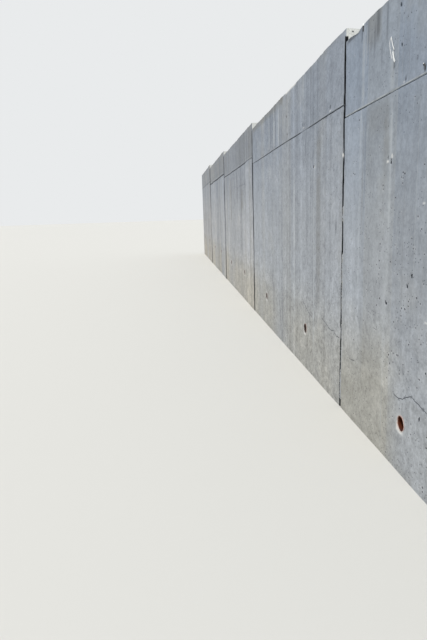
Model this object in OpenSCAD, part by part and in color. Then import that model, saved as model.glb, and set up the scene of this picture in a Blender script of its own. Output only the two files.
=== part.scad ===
// Roadside retaining wall of concrete cast in place, in bays that step up along a rising road.
// +X runs along the wall towards its low end, the exposed face looks to -Y, +Z is up.
// The foot of every bay is at Z = 0, the ground level at the low end of the first bay.
// Bay 1 is the lowest bay, at the +X end.

/* [Bays] */
// Number of bays in the row
bay_count = 5; // [1:1:6]
// Distance from one movement joint to the next
bay_pitch = 5000; // [3500:50:8000]
// Thickness of the wall
wall_t = 300; // [200:5:600]
// Rise of the top and of the lift joint from each bay to the next
bay_step = 105; // [0:5:250]

/* [Lifts] */
// Height of the lower lift of bay 1, from the foot to the lift joint
stem_h = 2480; // [1500:10:4000]
// Height of the upper lift, the same in every bay
crest_h = 575; // [300:5:1200]
// Width of the groove along the lift joint, measured on the face
groove_w = 16; // [8:1:40]
// Depth of the groove along the lift joint
groove_d = 10; // [4:1:25]

/* [Movement joints] */
// Width of the gap between two bays, which the board fills
joint_gap = 25; // [10:1:40]
// Distance of the board's edges behind the faces of the wall
board_setback = 25; // [5:1:60]
// Distance of the board's top below the top of the lower of its two bays
board_drop = 60; // [10:5:200]

/* [Weep pipes] */
// Number of pipes in a bay
pipes_per_bay = 2; // [1:1:3]
// Distance between two pipes in a bay
pipe_pitch = 2450; // [600:50:2600]
// Height of the pipe axes above the foot of bay 1; they rise with the bays
pipe_h = 350; // [150:10:600]
// Outer diameter of a pipe
pipe_od = 110; // [50:1:160]
// Wall of a pipe
pipe_wall = 3.2; // [1.8:0.1:8]
// Length of pipe that stands out of each face
pipe_proud = 4; // [0:1:30]

/* [Hidden] */
// Facets of a pipe seen end on
pipe_fn = 96;
// Overlap of a cut with the face that it opens
cut = 1;
bay_len = bay_pitch - joint_gap;
groove_half = groove_w / 2;
face_y = wall_t / 2;
joint_count = bay_count - 1;
pipe_count = bay_count * pipes_per_bay;

// Middle of bay i along the wall
function bay_x(i) = ((bay_count + 1) / 2 - i) * bay_pitch;
// Level of the lift joint of bay i
function lift_z(i) = stem_h + (i - 1) * bay_step;
// Level of the top of bay i
function top_z(i) = lift_z(i) + crest_h;
// Bay of pipe k, and the pipe's place in that bay counted from 1
function pipe_bay(k) = ceil(k / pipes_per_bay);
function pipe_place(k) = k - (pipe_bay(k) - 1) * pipes_per_bay;
// Axis of pipe k along the wall and up it
function pipe_x(k) = bay_x(pipe_bay(k)) + ((pipes_per_bay + 1) / 2 - pipe_place(k)) * pipe_pitch;
function pipe_z(k) = pipe_h + (pipe_bay(k) - 1) * bay_step;

// A section across the wall, drawn with Y across and Z up, carried along the length of bay i
module along_bay(i) {
    translate([bay_x(i) - bay_len / 2, 0, 0])
        rotate([90, 0, 90])
            linear_extrude(height = bay_len)
                children();
}

// A round bar or bore through the wall on the axis of pipe k, standing out of both faces
module across_wall(k, radius, standing_out) {
    translate([pipe_x(k), face_y + standing_out, pipe_z(k)])
        rotate([90, 0, 0])
            cylinder(r = radius, h = wall_t + 2 * standing_out, $fn = pipe_fn);
}

// Section of a lower lift: its two upper edges slope in as the lower half of the groove
module stem_section(top) {
    polygon([
        [-face_y, 0],
        [face_y, 0],
        [face_y, top - groove_half],
        [face_y - groove_d, top],
        [groove_d - face_y, top],
        [-face_y, top - groove_half]
    ]);
}

// Section of an upper lift: its two lower edges slope in as the upper half of the groove
module crest_section(bottom, top) {
    polygon([
        [groove_d - face_y, bottom],
        [face_y - groove_d, bottom],
        [face_y, bottom + groove_half],
        [face_y, top],
        [-face_y, top],
        [-face_y, bottom + groove_half]
    ]);
}

// Lower lift of bay i, cast round its weep pipes
module stem(i) {
    color("#a3aaac")
        difference() {
            along_bay(i)
                stem_section(lift_z(i));
            for (k = [1 : pipe_count])
                if (pipe_bay(k) == i)
                    across_wall(k, pipe_od / 2, pipe_proud + cut);
        }
}

// Upper lift of bay i, cast on the lower one
module crest(i) {
    color("#979fa3")
        along_bay(i)
            crest_section(lift_z(i), top_z(i));
}

// Compressible board in the joint between bay j and the higher bay beyond it
module joint_board(j) {
    color("#3b3a3a")
        translate([bay_x(j) - bay_pitch / 2 - joint_gap / 2, board_setback - face_y, 0])
            cube([joint_gap, wall_t - 2 * board_setback, top_z(j) - board_drop]);
}

// Weep pipe k, cast into the lower lift and open at both ends
module weep_pipe(k) {
    color("#b0603a")
        difference() {
            across_wall(k, pipe_od / 2, pipe_proud);
            across_wall(k, pipe_od / 2 - pipe_wall, pipe_proud + cut);
        }
}

for (i = [1 : bay_count]) {
    stem(i);
    crest(i);
}
for (j = [1 : 1 : joint_count])
    joint_board(j);
for (k = [1 : pipe_count])
    weep_pipe(k);
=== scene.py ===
"""Looks of a concrete roadside retaining wall that stands in bays.

Each casting is one closed mesh: its two faces are functions of the place along the wall and of the
height, its ends and top are closed by the same grid of lines, and holes are set in as rings. A place along
a bay is its distance from the bay's low end, which is the end at the greater x. Lengths are in metres.
"""

import math
from functools import partial, wraps

import bpy
import numpy as np
from bpy.props import FloatProperty, FloatVectorProperty, IntProperty, PointerProperty
from mathutils import Matrix, Vector


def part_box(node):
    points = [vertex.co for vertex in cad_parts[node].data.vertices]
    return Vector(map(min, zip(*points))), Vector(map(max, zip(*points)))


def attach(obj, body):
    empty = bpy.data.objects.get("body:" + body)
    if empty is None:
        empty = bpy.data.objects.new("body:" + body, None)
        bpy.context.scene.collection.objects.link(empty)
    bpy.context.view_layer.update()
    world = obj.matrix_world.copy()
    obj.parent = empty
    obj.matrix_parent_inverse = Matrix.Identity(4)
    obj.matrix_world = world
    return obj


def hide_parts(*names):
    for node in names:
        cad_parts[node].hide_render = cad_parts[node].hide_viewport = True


bl_info = {
    "name": "Retaining wall finish",
    "version": (1, 0, 0),
    "blender": (4, 5, 0),
    "location": "View3D > Sidebar > Wall",
    "description": "Casts a stepped concrete retaining wall in bays, with its joints, pipes and marks",
    "category": "Object",
}

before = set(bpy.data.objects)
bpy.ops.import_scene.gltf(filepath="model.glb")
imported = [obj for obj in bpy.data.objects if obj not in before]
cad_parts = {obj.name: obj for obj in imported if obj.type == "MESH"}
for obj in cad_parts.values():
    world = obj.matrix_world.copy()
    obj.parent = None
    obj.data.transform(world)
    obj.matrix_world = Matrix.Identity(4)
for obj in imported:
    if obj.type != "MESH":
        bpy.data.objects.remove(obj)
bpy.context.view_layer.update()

BODY = "root"
BAYS = sum(name.startswith("stem_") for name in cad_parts)
PIPES = sum(name.startswith("weep_pipe_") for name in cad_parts)
HALF_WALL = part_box("stem_1")[1][1]
PHOTO_SIZE = (427, 640)
# Mesh lines are never closer together than this
LEAST_SPACING = 0.0008
# Mesh lines lie at these distances from the edges of a casting, where it is worn
EDGE_LINES = np.array([0.0012, 0.0028, 0.005, 0.008, 0.011, 0.015, 0.022])
# Bays after this one are far from the camera, and their mesh lines lie further apart by a factor
LAST_NEAR_BAY, FAR_SPACING = 2, 1.35
# The pipe whose inside shows best is clean and limy; lime runs out of a pipe low on its left, and the rims
# of pipes and bores there get a painted highlight
CLEAN_PIPE = 2
LIME_ANGLE = math.radians(248)
PIPE_WALL = 0.0032
PIPE_SIDES = 96
# Edges sharper than this aren't smoothed
SHARP_ABOVE = math.radians(32)
# Points along a bent strap or wire
PATH_POINTS = 28
# Half the widths over which the upright and the level edges of a mark fade, at most
MARK_BLEND = (0.03, 0.12)


def linear(hex_colour):
    """Turns an sRGB hex colour such as #9aa0a3 into linear red, green, blue and alpha."""
    parts = [int(hex_colour[i:i + 2], 16) / 255 for i in (1, 3, 5)]
    return tuple(p / 12.92 if p <= 0.04045 else ((p + 0.055) / 1.055) ** 2.4 for p in parts) + (1.0,)


def colour_property(name, description, hex_colour):
    """A colour that a user can change, with its default given in sRGB hex."""
    return FloatVectorProperty(name=name, description=description, subtype="COLOR", size=4, min=0.0, max=1.0,
                               default=linear(hex_colour))


def length_property(name, description, metres, least=0.0):
    """A length that a user can change."""
    return FloatProperty(name=name, description=description, default=metres, min=least, unit="LENGTH")


class WallSizes(bpy.types.PropertyGroup):
    """Sizes of the finish, in metres."""

    line_x: length_property("Grid along", "Spacing of the mesh lines along the wall", 0.026, 0.01)
    line_z: length_property("Grid up", "Spacing of the mesh lines up the wall", 0.03, 0.01)
    groove_width: length_property("Groove width", "Width of the groove along the lift joint", 0.016)
    groove_depth: length_property("Groove depth", "Depth of the groove along the lift joint", 0.010)
    arris_wear: length_property("Worn edge", "Radius worn on the edges of each casting", 0.005)
    panel_pitch: length_property("Shutter width", "Width of one formwork panel", 0.9)
    panel_bow: length_property("Shutter bow", "How far a panel bowed out under the wet concrete", 0.0014)
    fin: length_property("Grout fin", "Height of the fin left where two panels met", 0.0012)
    waviness: length_property("Waviness", "Slow unevenness of a cast face", 0.0012)
    tie_depth: length_property("Tie hole depth", "Depth of a hole left by a formwork tie", 0.035)
    top_wear: length_property("Top wear", "Unevenness of the tops, which were struck off by hand", 0.010)
    blowholes: IntProperty(name="Blowholes", description="Blowholes on each face of a lower lift", default=110)


class WallColours(bpy.types.PropertyGroup):
    """Colours of the finish."""

    face_high: colour_property("Face, high", "Cast face of the upper lifts", "#9098a4")
    face_middle: colour_property("Face, middle", "Cast face at breast height", "#a1a6ad")
    face_low: colour_property("Face, low", "Cast face near the foot", "#afaea8")
    bleed: colour_property("Bleed streak", "Pale streak where grout ran out between panels", "#b9bec1")
    stain: colour_property("Stain", "Run-off and soil on a cast face", "#7a7870")
    # Also paints sunlight on the upper ends and on the tops
    edge_cream: colour_property("Ends and tops", "Pale crust on the ends and tops", "#bcc1c0")
    # Also paints shade in holes, the groove, cracks and joints, and a shadow under the strap
    soot: colour_property("Grime", "Dirt in grooves, holes and joints", "#2c3139")
    # Also paints the shade of the joint gaps on the ends of the bays
    board: colour_property("Joint board", "Bitumen fibreboard in the joints", "#0b0e13")
    pipe: colour_property("Pipe", "Orange-brown drain pipe", "#a2542c")
    # Painted shade inside a pipe, over its dark wet wall
    pipe_inside: colour_property("Pipe, inside", "Wet and dirty inside of a pipe", "#4a210f")
    pipe_soil: colour_property("Pipe, soiled", "Coat of soil on a pipe", "#2b2624")
    # Also paints highlights on lit rims and edges
    lime: colour_property("Lime", "Lime at rims and chips", "#eeeeea")
    mortar: colour_property("Mortar", "Mortar pushed into a joint", "#a5a5a1")
    strap: colour_property("Strap", "White plastic strap", "#eef0f0")
    rust: colour_property("Rust", "Rusted wire and bar", "#3a3c40")
    rust_bloom: colour_property("Rust bloom", "Lighter bloom on rusted wire and bar", "#55504c")
    floor: colour_property("Floor", "Pale studio floor", "#d3d2cd")
    backdrop: colour_property("Backdrop", "Pale studio background", "#e9ebec")
    sky_light: colour_property("Sky light", "Even light from all sides", "#f4f7fb")


# Where two formwork panels met, as distances from the low end of the bay
PANEL_JOINTS = {
    1: (0.43, 1.33, 2.23, 3.13, 4.03, 4.55),
    2: (0.90, 1.815, 2.68, 3.30, 3.90, 4.50),
}
# Large round holes in the front by bay and lift: distance from the low end, height, radius and, for the
# spalls of the lower lifts, depth. Those of the upper lifts held formwork ties.
ROUND_HOLES = {
    (1, "stem"): (
        (4.052, 2.074, 0.014, 0.015), (4.012, 2.044, 0.015, 0.014), (4.014, 1.106, 0.017, 0.014),
        (3.692, 1.265, 0.013, 0.012), (3.457, 0.481, 0.013, 0.010), (3.635, 1.337, 0.014, 0.012),
    ),
    (2, "stem"): ((0.932, 2.177, 0.018, 0.010),),
    (1, "crest"): ((3.930, 2.950, 0.015), (3.903, 2.718, 0.013)),
    (2, "crest"): ((2.212, 2.874, 0.020), (2.165, 2.661, 0.019)),
}
# Blowholes of bay 1 that can be told apart: distance from its low end, height, radius in millimetres
BLOWHOLES = (
    (4.10, 1.134, 7), (4.06, 1.132, 6), (4.19, 1.074, 6), (4.33, 0.961, 5), (4.15, 1.009, 4), (4.19, 0.891, 5),
    (3.757, 1.095, 6), (3.70, 1.107, 7), (3.664, 1.143, 5), (3.762, 1.066, 6), (3.88, 1.005, 5),
    (3.81, 1.019, 4), (3.543, 1.221, 7), (3.514, 1.187, 6), (3.665, 1.17, 5), (3.465, 0.948, 5),
    (3.643, 0.897, 5), (3.497, 0.835, 7), (3.703, 0.748, 5), (4.008, 0.737, 7), (3.94, 0.751, 7),
    (3.855, 0.781, 8), (3.802, 0.804, 8), (3.928, 0.712, 7), (3.867, 0.727, 6), (3.998, 0.768, 5),
    (3.89, 0.806, 5), (3.456, 0.724, 6), (3.51, 0.667, 7), (3.846, 0.352, 5), (3.41, 0.777, 7),
    (4.574, 0.906, 5), (4.434, 0.903, 5), (3.938, 0.645, 5), (3.967, 0.593, 5), (3.751, 0.687, 5),
    (3.621, 0.732, 5), (3.551, 1.03, 4), (3.805, 1.971, 6), (3.781, 1.949, 6), (3.808, 1.927, 5),
    (3.831, 1.934, 4), (3.806, 1.897, 5), (4.089, 1.903, 7), (4.079, 1.880, 5), (4.368, 1.525, 6),
    (4.154, 1.50, 6), (4.152, 1.462, 5), (4.155, 1.388, 6), (4.208, 1.355, 5), (4.142, 1.337, 5),
    (4.166, 1.292, 5), (4.164, 1.264, 4), (4.461, 1.367, 5), (3.965, 1.397, 7), (3.902, 1.51, 4),
    (3.649, 1.556, 5), (3.629, 1.494, 5), (3.536, 1.621, 5), (3.59, 1.698, 5), (3.516, 1.984, 7),
    (4.478, 1.464, 5), (4.554, 1.456, 4), (3.911, 1.812, 5), (3.985, 1.747, 4), (4.70, 2.002, 7),
    (4.735, 2.046, 5), (4.774, 1.169, 4), (3.48, 1.48, 4), (3.45, 1.31, 4), (3.56, 0.41, 5), (3.62, 0.30, 4),
)
# Their soft rims make blowholes look smaller, so the listed ones are drawn larger by this factor
BLOWHOLE_SCALE = 1 / 0.85
# Course of the wavy line between two pours of a lower lift: (distance from the low end, height)
POUR_LINES = {
    1: ((0.0, 0.53), (1.9, 0.60), (3.1, 0.540), (3.38, 0.553), (3.50, 0.575), (3.585, 0.585), (3.63, 0.563),
        (3.69, 0.531), (3.77, 0.508), (3.83, 0.512), (3.86, 0.530), (4.60, 0.530), (4.74, 0.518), (5.0, 0.55)),
    2: ((0.0, 0.63), (0.12, 0.625), (0.20, 0.655), (0.30, 0.640), (0.38, 0.660), (0.50, 0.690), (0.70, 0.700),
        (0.98, 0.640), (1.10, 0.655), (1.22, 0.700), (1.40, 0.760), (3.3, 0.69), (5.0, 0.67)),
}
# Where that line can be seen: bay, and its two ends as distances from the low end
POUR_LINE_SEEN = ((1, 2.9, 3.86), (1, 4.62, 4.76), (2, 0.03, 0.60), (2, 0.98, 1.38))
# Where the groove was filled with grout: bay, distance from the low end, half width, share filled
GROOVE_FILLED = ((2, 1.33, 0.16, 0.7), (2, 4.85, 0.25, 0.5), (3, 0.45, 0.45, 0.6), (5, 2.50, 4.00, 0.5))
# How far the low end of a bay stands proud of the bay before it: bay, then (height, distance) pairs
LIPPING = {
    3: ((0.20, 0.0020), (0.60, 0.0032), (1.00, 0.0005), (1.40, 0.0005), (1.85, 0.0025), (2.65, 0.0034),
        (3.05, 0.0005)),
    4: ((0.20, 0.0080), (0.62, 0.0050), (1.05, 0.0020), (1.45, 0.0005), (1.90, 0.0045), (2.30, 0.0060),
        (2.70, 0.0010), (3.10, 0.0035)),
    5: ((0.20, 0.0100), (0.64, 0.0035), (1.06, 0.0025), (1.50, 0.0010), (1.90, 0.0030), (2.34, 0.0065),
        (2.76, 0.0085), (3.20, 0.0100)),
}
# Numbers that differ from bay to bay, for the first bay and on; the last one stands for any more bays. The
# far bays' shutters left firmer bands, and there the groove's painted dark line of dirt and shade, its lip and
# the holes beside it are spread wider. Dust has warmed the far bays, and rain has washed the top of the near
# one bluer.
BANDING = (0.6, 1.2, 1.7, 1.7, 1.5, 1.0)
GROOVE_ROUGHNESS = (1.0, 1.7, 3.2, 5.5, 4.5, 1.0)
DUST = (-0.034, 0.008, 0.034, 0.034, 0.060, 0.0)
# Reach of the bitumen and painted gap shade out of a joint, for the first joint and on, on the bays above and
# below it
TAR_ABOVE = (0.016, 0.0448, 0.048, 0.0544, 0.016)
TAR_BELOW = (0.010, 0.022, 0.025, 0.030, 0.010)
# Marks on the front by bay, lift and kind: two ends as distances from the low end, lowest and highest
# point, strength. A tone is a share lighter or darker, bleed is pale grout, stain is run-off, the grime kind
# is dark dirt with some painted shade and shadow, and the lime kind is white lime and chips with some
# painted highlights.
MARK_KINDS = ("tone", "bleed", "stain", "soot", "lime")
MARKS = {
    (1, "crest"): {
        "tone": ((3.30, 3.99, 2.48, 3.06, -0.06), (4.08, 4.50, 2.55, 3.06, -0.06),
            (4.60, 5.00, 2.48, 3.06, -0.03)),
        "bleed": ((4.532, 4.582, 2.48, 3.03, 0.50), (4.485, 4.505, 2.75, 3.00, 0.35),
            (4.00, 4.06, 2.48, 2.72, 0.35)),
        "stain": ((4.24, 4.50, 2.86, 3.06, 0.50),),
        # The grime mark from 4.66 to 4.93 at the top edge is the painted shade of the worn dip there
        "soot": ((4.588, 4.612, 2.94, 3.02, 0.55), (4.66, 4.93, 3.020, 3.052, 0.68),
            (4.452, 4.478, 2.88, 3.04, 0.30), (4.332, 4.358, 2.80, 2.98, 0.38),
            (4.390, 4.425, 2.82, 2.92, 0.22), (4.258, 4.318, 2.88, 3.06, 0.50),
            (4.118, 4.144, 2.81, 3.06, 0.38), (4.195, 4.225, 2.68, 2.81, 0.22),
            # The grime mark from 3.992 to 4.020 is the painted shadow under the strap's end
            (3.992, 4.020, 2.606, 2.648, 0.75), (3.815, 3.835, 2.497, 2.513, 0.8),
            (3.665, 3.685, 2.575, 2.592, 0.5)),
        "lime": ((3.840, 3.858, 2.490, 2.499, 0.5),),
    },
    (1, "stem"): {
        "tone": ((4.547, 4.89, 1.85, 2.47, 0.04), (4.547, 4.89, 0.60, 1.60, 0.08),
            (4.07, 4.53, 1.95, 2.47, -0.13), (4.07, 4.53, 1.55, 1.95, -0.08), (4.07, 4.53, 1.20, 1.55, -0.03),
            (2.60, 3.74, 0.00, 0.52, 0.110), (3.45, 3.66, 0.85, 1.50, -0.035),
            (4.07, 4.53, 0.55, 1.25, -0.03), (3.00, 3.99, 1.20, 2.47, -0.12),
            (3.00, 3.99, 0.60, 1.20, -0.06)),
        "bleed": ((4.940, 4.985, 0.30, 0.66, 0.60), (4.950, 4.985, 1.72, 2.05, 0.45),
            (4.000, 4.032, 1.20, 2.42, 0.42), (4.020, 4.080, 0.62, 1.25, 0.35),
            (4.040, 4.056, 0.06, 0.58, 0.55), (4.575, 4.605, 1.10, 2.47, 0.35)),
        "stain": ((4.62, 4.95, 0.12, 0.36, 0.35), (4.515, 4.545, 1.55, 2.44, 0.35),
            (4.06, 4.42, 2.26, 2.46, 0.30), (4.04, 4.14, 1.90, 2.38, 0.40), (4.08, 4.52, 0.52, 0.84, 0.55),
            (4.12, 4.56, 0.05, 0.52, 0.15), (4.00, 4.14, 0.09, 0.20, 0.35)),
        "soot": ((4.476, 4.494, 1.80, 2.36, 0.32), (4.06, 4.08, 0.140, 0.155, 0.40),
            (4.30, 4.345, 0.60, 0.615, 0.3)),
        "lime": ((3.983, 4.001, 2.066, 2.090, 1.0), (4.044, 4.072, 2.042, 2.058, 1.0),
            (3.50, 3.53, 1.762, 1.774, 0.5), (3.40, 3.44, 1.080, 1.092, 0.5)),
    },
    (2, "crest"): {
        "tone": ((0.10, 2.10, 2.58, 3.16, -0.02), (2.85, 4.95, 2.58, 3.16, -0.05)),
        "bleed": ((2.662, 2.708, 2.60, 3.15, 0.85), (2.98, 3.05, 2.60, 3.16, 0.60),
            (3.34, 3.42, 2.62, 3.12, 0.35), (1.34, 1.40, 2.70, 3.14, 0.40), (4.93, 4.98, 2.62, 3.12, 0.60)),
        "stain": ((2.11, 2.66, 2.60, 3.15, 0.35), (2.40, 4.90, 3.07, 3.17, 0.60)),
        "soot": ((2.82, 2.91, 2.62, 3.16, 0.24), (3.22, 3.31, 2.64, 3.14, 0.24),
            (1.42, 1.47, 2.80, 3.16, 0.25), (1.40, 1.43, 2.64, 2.67, 0.6), (1.32, 1.35, 2.63, 2.66, 0.45),
            (0.36, 0.39, 2.625, 2.655, 0.8), (2.95, 3.00, 3.00, 3.17, 0.4), (3.60, 3.66, 2.98, 3.17, 0.3)),
        "lime": ((1.33, 1.39, 2.612, 2.624, 0.4), (0.35, 0.40, 2.603, 2.614, 0.5),
            (1.70, 2.26, 3.138, 3.175, 0.85)),
    },
    (2, "stem"): {
        "tone": ((0.22, 0.62, 0.80, 2.00, 0.03), (0.66, 0.85, 0.80, 2.50, -0.05),
            (0.96, 1.78, 0.75, 2.40, 0.03), (1.86, 2.60, 0.00, 1.60, -0.03), (1.86, 2.60, 1.60, 2.56, -0.05),
            (3.15, 3.80, 0.70, 2.40, 0.04), (3.90, 4.90, 0.10, 2.40, 0.04)),
        "bleed": ((0.865, 0.905, 2.10, 2.52, 0.60), (0.900, 0.935, 0.30, 2.20, 0.70),
            (1.785, 1.830, 0.50, 2.15, 0.85), (2.605, 2.660, 0.40, 2.56, 0.60),
            (3.05, 3.15, 0.90, 2.30, 0.30), (3.82, 3.88, 0.70, 2.50, 0.40)),
        "stain": ((0.0, 0.10, 0.0, 2.56, 0.22), (0.68, 0.83, 0.80, 2.46, 0.60)),
        "soot": ((0.162, 0.190, 1.55, 1.67, 0.55), (1.250, 1.285, 2.32, 2.52, 0.35),
            (2.66, 2.72, 0.80, 2.30, 0.12), (3.42, 3.50, 1.00, 2.40, 0.14)),
        "lime": ((0.0, 0.022, 2.178, 2.206, 1.0), (0.885, 0.908, 2.165, 2.185, 0.8)),
    },
    (3, "stem"): {
        "tone": ((0.0, 5.0, 0.0, 1.90, 0.050), (0.0, 5.0, 2.10, 2.70, -0.045)),
        "stain": ((1.30, 1.65, 1.80, 2.28, 0.60), (3.30, 3.60, 1.60, 2.50, 0.50)),
        "soot": ((0.90, 0.98, 1.70, 2.28, 0.55), (0.95, 1.85, 2.290, 2.320, 0.22),
            (2.18, 2.32, 2.05, 2.60, 0.35)),
    },
    (3, "crest"): {
        "tone": ((0.0, 5.0, 2.68, 3.27, -0.035),),
        "stain": ((0.0, 2.40, 2.72, 3.26, 0.18),),
        "soot": ((0.60, 0.72, 2.72, 3.26, 0.25), (2.30, 2.45, 2.72, 3.26, 0.25)),
    },
    (4, "crest"): {
        "stain": ((0.0, 5.0, 2.80, 3.37, 0.35),),
    },
    (4, "stem"): {
        "tone": ((0.0, 5.0, 1.50, 2.80, 0.035), (0.0, 5.0, 0.0, 1.15, 0.030)),
    },
    (5, "stem"): {
        "tone": ((0.0, 5.0, 1.00, 1.80, -0.09),),
    },
}


def bay_span(bay):
    """The two ends of a bay along X, the low end first, which has the greater x."""
    low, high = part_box(f"stem_{bay}")
    return high[0], low[0]


def lift_level(bay):
    """Height of the joint between the two lifts of a bay."""
    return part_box(f"stem_{bay}")[1][2]


def top_level(bay):
    """Height of the top of a bay."""
    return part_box(f"crest_{bay}")[1][2]


def from_low_end(bay, x):
    """Distance of a place from the low end of a bay."""
    return bay_span(bay)[0] - x


def of_number(table, number):
    """The entry of a table for a bay or joint of a number counted from 1."""
    return table[min(number, len(table)) - 1]


def seed_of(bay, lift, step=10):
    """The seed of a casting's smooth random functions, a different one for each."""
    return bay * step + (step // 2 if lift == "crest" else 0)


def rolling(u, v, shortest, longest, seed, count=20):
    """A smooth random surface over u and v, mostly between -1 and 1.

    The sum of sine waves whose directions, lengths from shortest to longest and phases come from a seeded
    generator, divided by the root of their number."""
    draw = np.random.default_rng(seed)
    angle = draw.uniform(0, math.pi, count)
    length = np.exp(draw.uniform(math.log(shortest), math.log(longest), count))
    phase = draw.uniform(0, 2 * math.pi, count)
    total = 0.0
    for a, l, p in zip(angle, length, phase):
        total = total + np.sin((u * math.cos(a) + v * math.sin(a)) * 2 * math.pi / l + p)
    return total / math.sqrt(count)


def hump(value, middle, half_width):
    """A bell curve: 1 at the middle, falling to 0.37 at half_width from it."""
    return np.exp(-((value - middle) / half_width) ** 2)


def ramp(value, start, end):
    """0 before start, 1 after end, and a smooth S between them."""
    t = np.clip((value - start) / (end - start), 0, 1)
    return t * t * (3 - 2 * t)


def window(value, start, end, soft):
    """1 from start to end and 0 outside, with a smooth S of half width soft at either end."""
    return ramp(value, start - soft, start + soft) * (1 - ramp(value, end - soft, end + soft))


def rounding(distance, radius):
    """How far an edge worn to a quarter circle lies behind its face at a distance from it."""
    near = np.clip(radius - distance, 0, radius)
    return radius - np.sqrt(radius ** 2 - near ** 2)


def panel_edges(bay):
    """Places along X where two formwork panels met in a bay, and the same in order with the bay's ends."""
    low_end, high_end = bay_span(bay)
    pitch = bpy.context.scene.wall_sizes.panel_pitch
    regular = np.arange(pitch, low_end - high_end - 0.3, pitch)
    joints = low_end - np.array(PANEL_JOINTS.get(bay, regular))
    return joints, np.sort(np.concatenate([[high_end], joints, [low_end]]))


def panel_at(edges, x):
    """Number of the formwork panel at each x."""
    return np.clip(np.searchsorted(edges, x) - 1, 0, len(edges) - 2)


def groove_filled(bay, x):
    """Share of the groove that is filled with grout at a place along a bay: flat-topped bell curves."""
    share = np.zeros_like(x)
    for where, middle, half, filled in GROOVE_FILLED:
        if where == bay:
            share = np.maximum(share, filled * np.exp(-((from_low_end(bay, x) - middle) / half) ** 4))
    return share


def groove_sag(bay, x):
    """How far the groove of a bay lies above its true level: in bay 1 the fillet sagged by 11 mm."""
    if bay == 1:
        return -0.011 * hump(from_low_end(bay, x), 3.2, 0.9)
    return 0.004 * rolling(x, 0, 0.8, 3.0, bay)


def face_relief(bay, lift, side):
    """The depth of a cast face behind its true plane, as a function of x and z.

    The sum of a slow unevenness, a bow of each formwork panel in half a sine wave, a small step and a fin
    where panels met, the half groove along the lift joint, the shutter's lip at the low end, the quarter
    circles of the worn edges and chips out of them."""
    sizes = bpy.context.scene.wall_sizes
    low_end, high_end = bay_span(bay)
    level, top = lift_level(bay), top_level(bay)
    half = sizes.groove_width / 2
    seed = seed_of(bay, lift, 100) + (7 if side == "back" else 0)
    joints, edges = panel_edges(bay)
    draw = np.random.default_rng(seed + 3)
    step = draw.uniform(-0.0008, 0.0008, len(edges))
    lip_up, lip_out = np.array(LIPPING.get(bay, ((0.0, 0.0),))).T
    # Chips out of the upright edges: height, half length and depth
    chips = [draw.uniform(least, most, 16) for least, most in ((0.1, 3.0), (0.012, 0.05), (0.002, 0.010))]

    def depth(x, z):
        out = sizes.waviness * rolling(x, z, 0.5, 3.0, seed)
        panel = panel_at(edges, x)
        along = (x - edges[panel]) / (edges[panel + 1] - edges[panel])
        out = out + step[panel] - sizes.panel_bow * np.sin(math.pi * np.clip(along, 0, 1))
        for place in joints:
            uneven = 0.6 + 0.4 * rolling(z, place, 0.1, 0.8, seed + 5)
            out = out - sizes.fin * hump(x, place, 0.004) * uneven
        slope = 1 - np.clip(np.abs(z - level) / half, 0, 1)
        slope = slope * (1 + 0.35 * rolling(x, 0, 0.05, 0.5, seed + 6)).clip(0.2, 1.0)
        filled = groove_filled(bay, x) if side == "front" else 0.0
        out = out + sizes.groove_depth * (1 - filled) * slope
        if side == "front":
            out = out - np.interp(z, lip_up, lip_out) * (1 - ramp(low_end - x, 0.05, 1.5))
        for end in (low_end, high_end):
            radius = sizes.arris_wear * (1.6 if end == low_end and bay > 1 else 1.0)
            out = out + rounding(np.abs(x - end), radius)
            reach = 1 - np.clip(np.abs(x - end) / 0.012, 0, 1)
            for up, long, deep in zip(*chips):
                out = out + deep * reach * hump(z, up, long)
        if lift == "crest":
            out = out + rounding(top - z, sizes.arris_wear)
            reach = 1 - np.clip((top - z) / 0.015, 0, 1)
            out = out + 0.005 * reach * ramp(rolling(x, 0, 0.05, 0.6, seed + 9), 0.4, 1.4)
        return out

    return depth


def edge_shift(bay, lift):
    """How far the points of a casting are moved up, as a function of x, y and z: the groove sags, its lips
    wander by 2 mm and the top is worn down, by smooth random functions of the place. The top of bay 1 has
    a dip 0.27 m from the first joint."""
    sizes = bpy.context.scene.wall_sizes
    level, top = lift_level(bay), top_level(bay)
    half = sizes.groove_width / 2
    seed = seed_of(bay, lift)

    def shift(x, y, z):
        from_level = np.abs(z - level)
        near_lip = hump(from_level, half, half * 0.8) * (from_level > half * 0.1)
        up = 0.002 * near_lip * rolling(x, np.where(y < 0, 0.0, 3.7), 0.06, 0.4, seed)
        up = up + groove_sag(bay, x) * (1 - ramp(from_level, 0.02, 0.12))
        if lift == "crest":
            worn = 0.5 + 0.5 * rolling(x, y, 0.10, 1.8, seed + 1).clip(-1, 1)
            if bay == 1:
                away = from_low_end(bay, x)
                worn = worn * (1 - hump(away, 4.95, 0.14)) + 1.3 * hump(away, 4.70, 0.08)
            up = up - sizes.top_wear * worn * ramp(z, top - 0.08, top - 0.010)
        return up

    return shift


def spaced_lines(start, end, step, extra=()):
    """Evenly spaced mesh lines from start to end, with extra ones, none closer than LEAST_SPACING."""
    count = max(2, int(round((end - start) / step)) + 1)
    lines = np.sort(np.concatenate([np.linspace(start, end, count), np.asarray(extra, float)]))
    lines = lines[(lines >= start) & (lines <= end)]
    lines = lines[np.concatenate([[True], np.diff(lines) > LEAST_SPACING])]
    lines[-1] = end
    return lines


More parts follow.
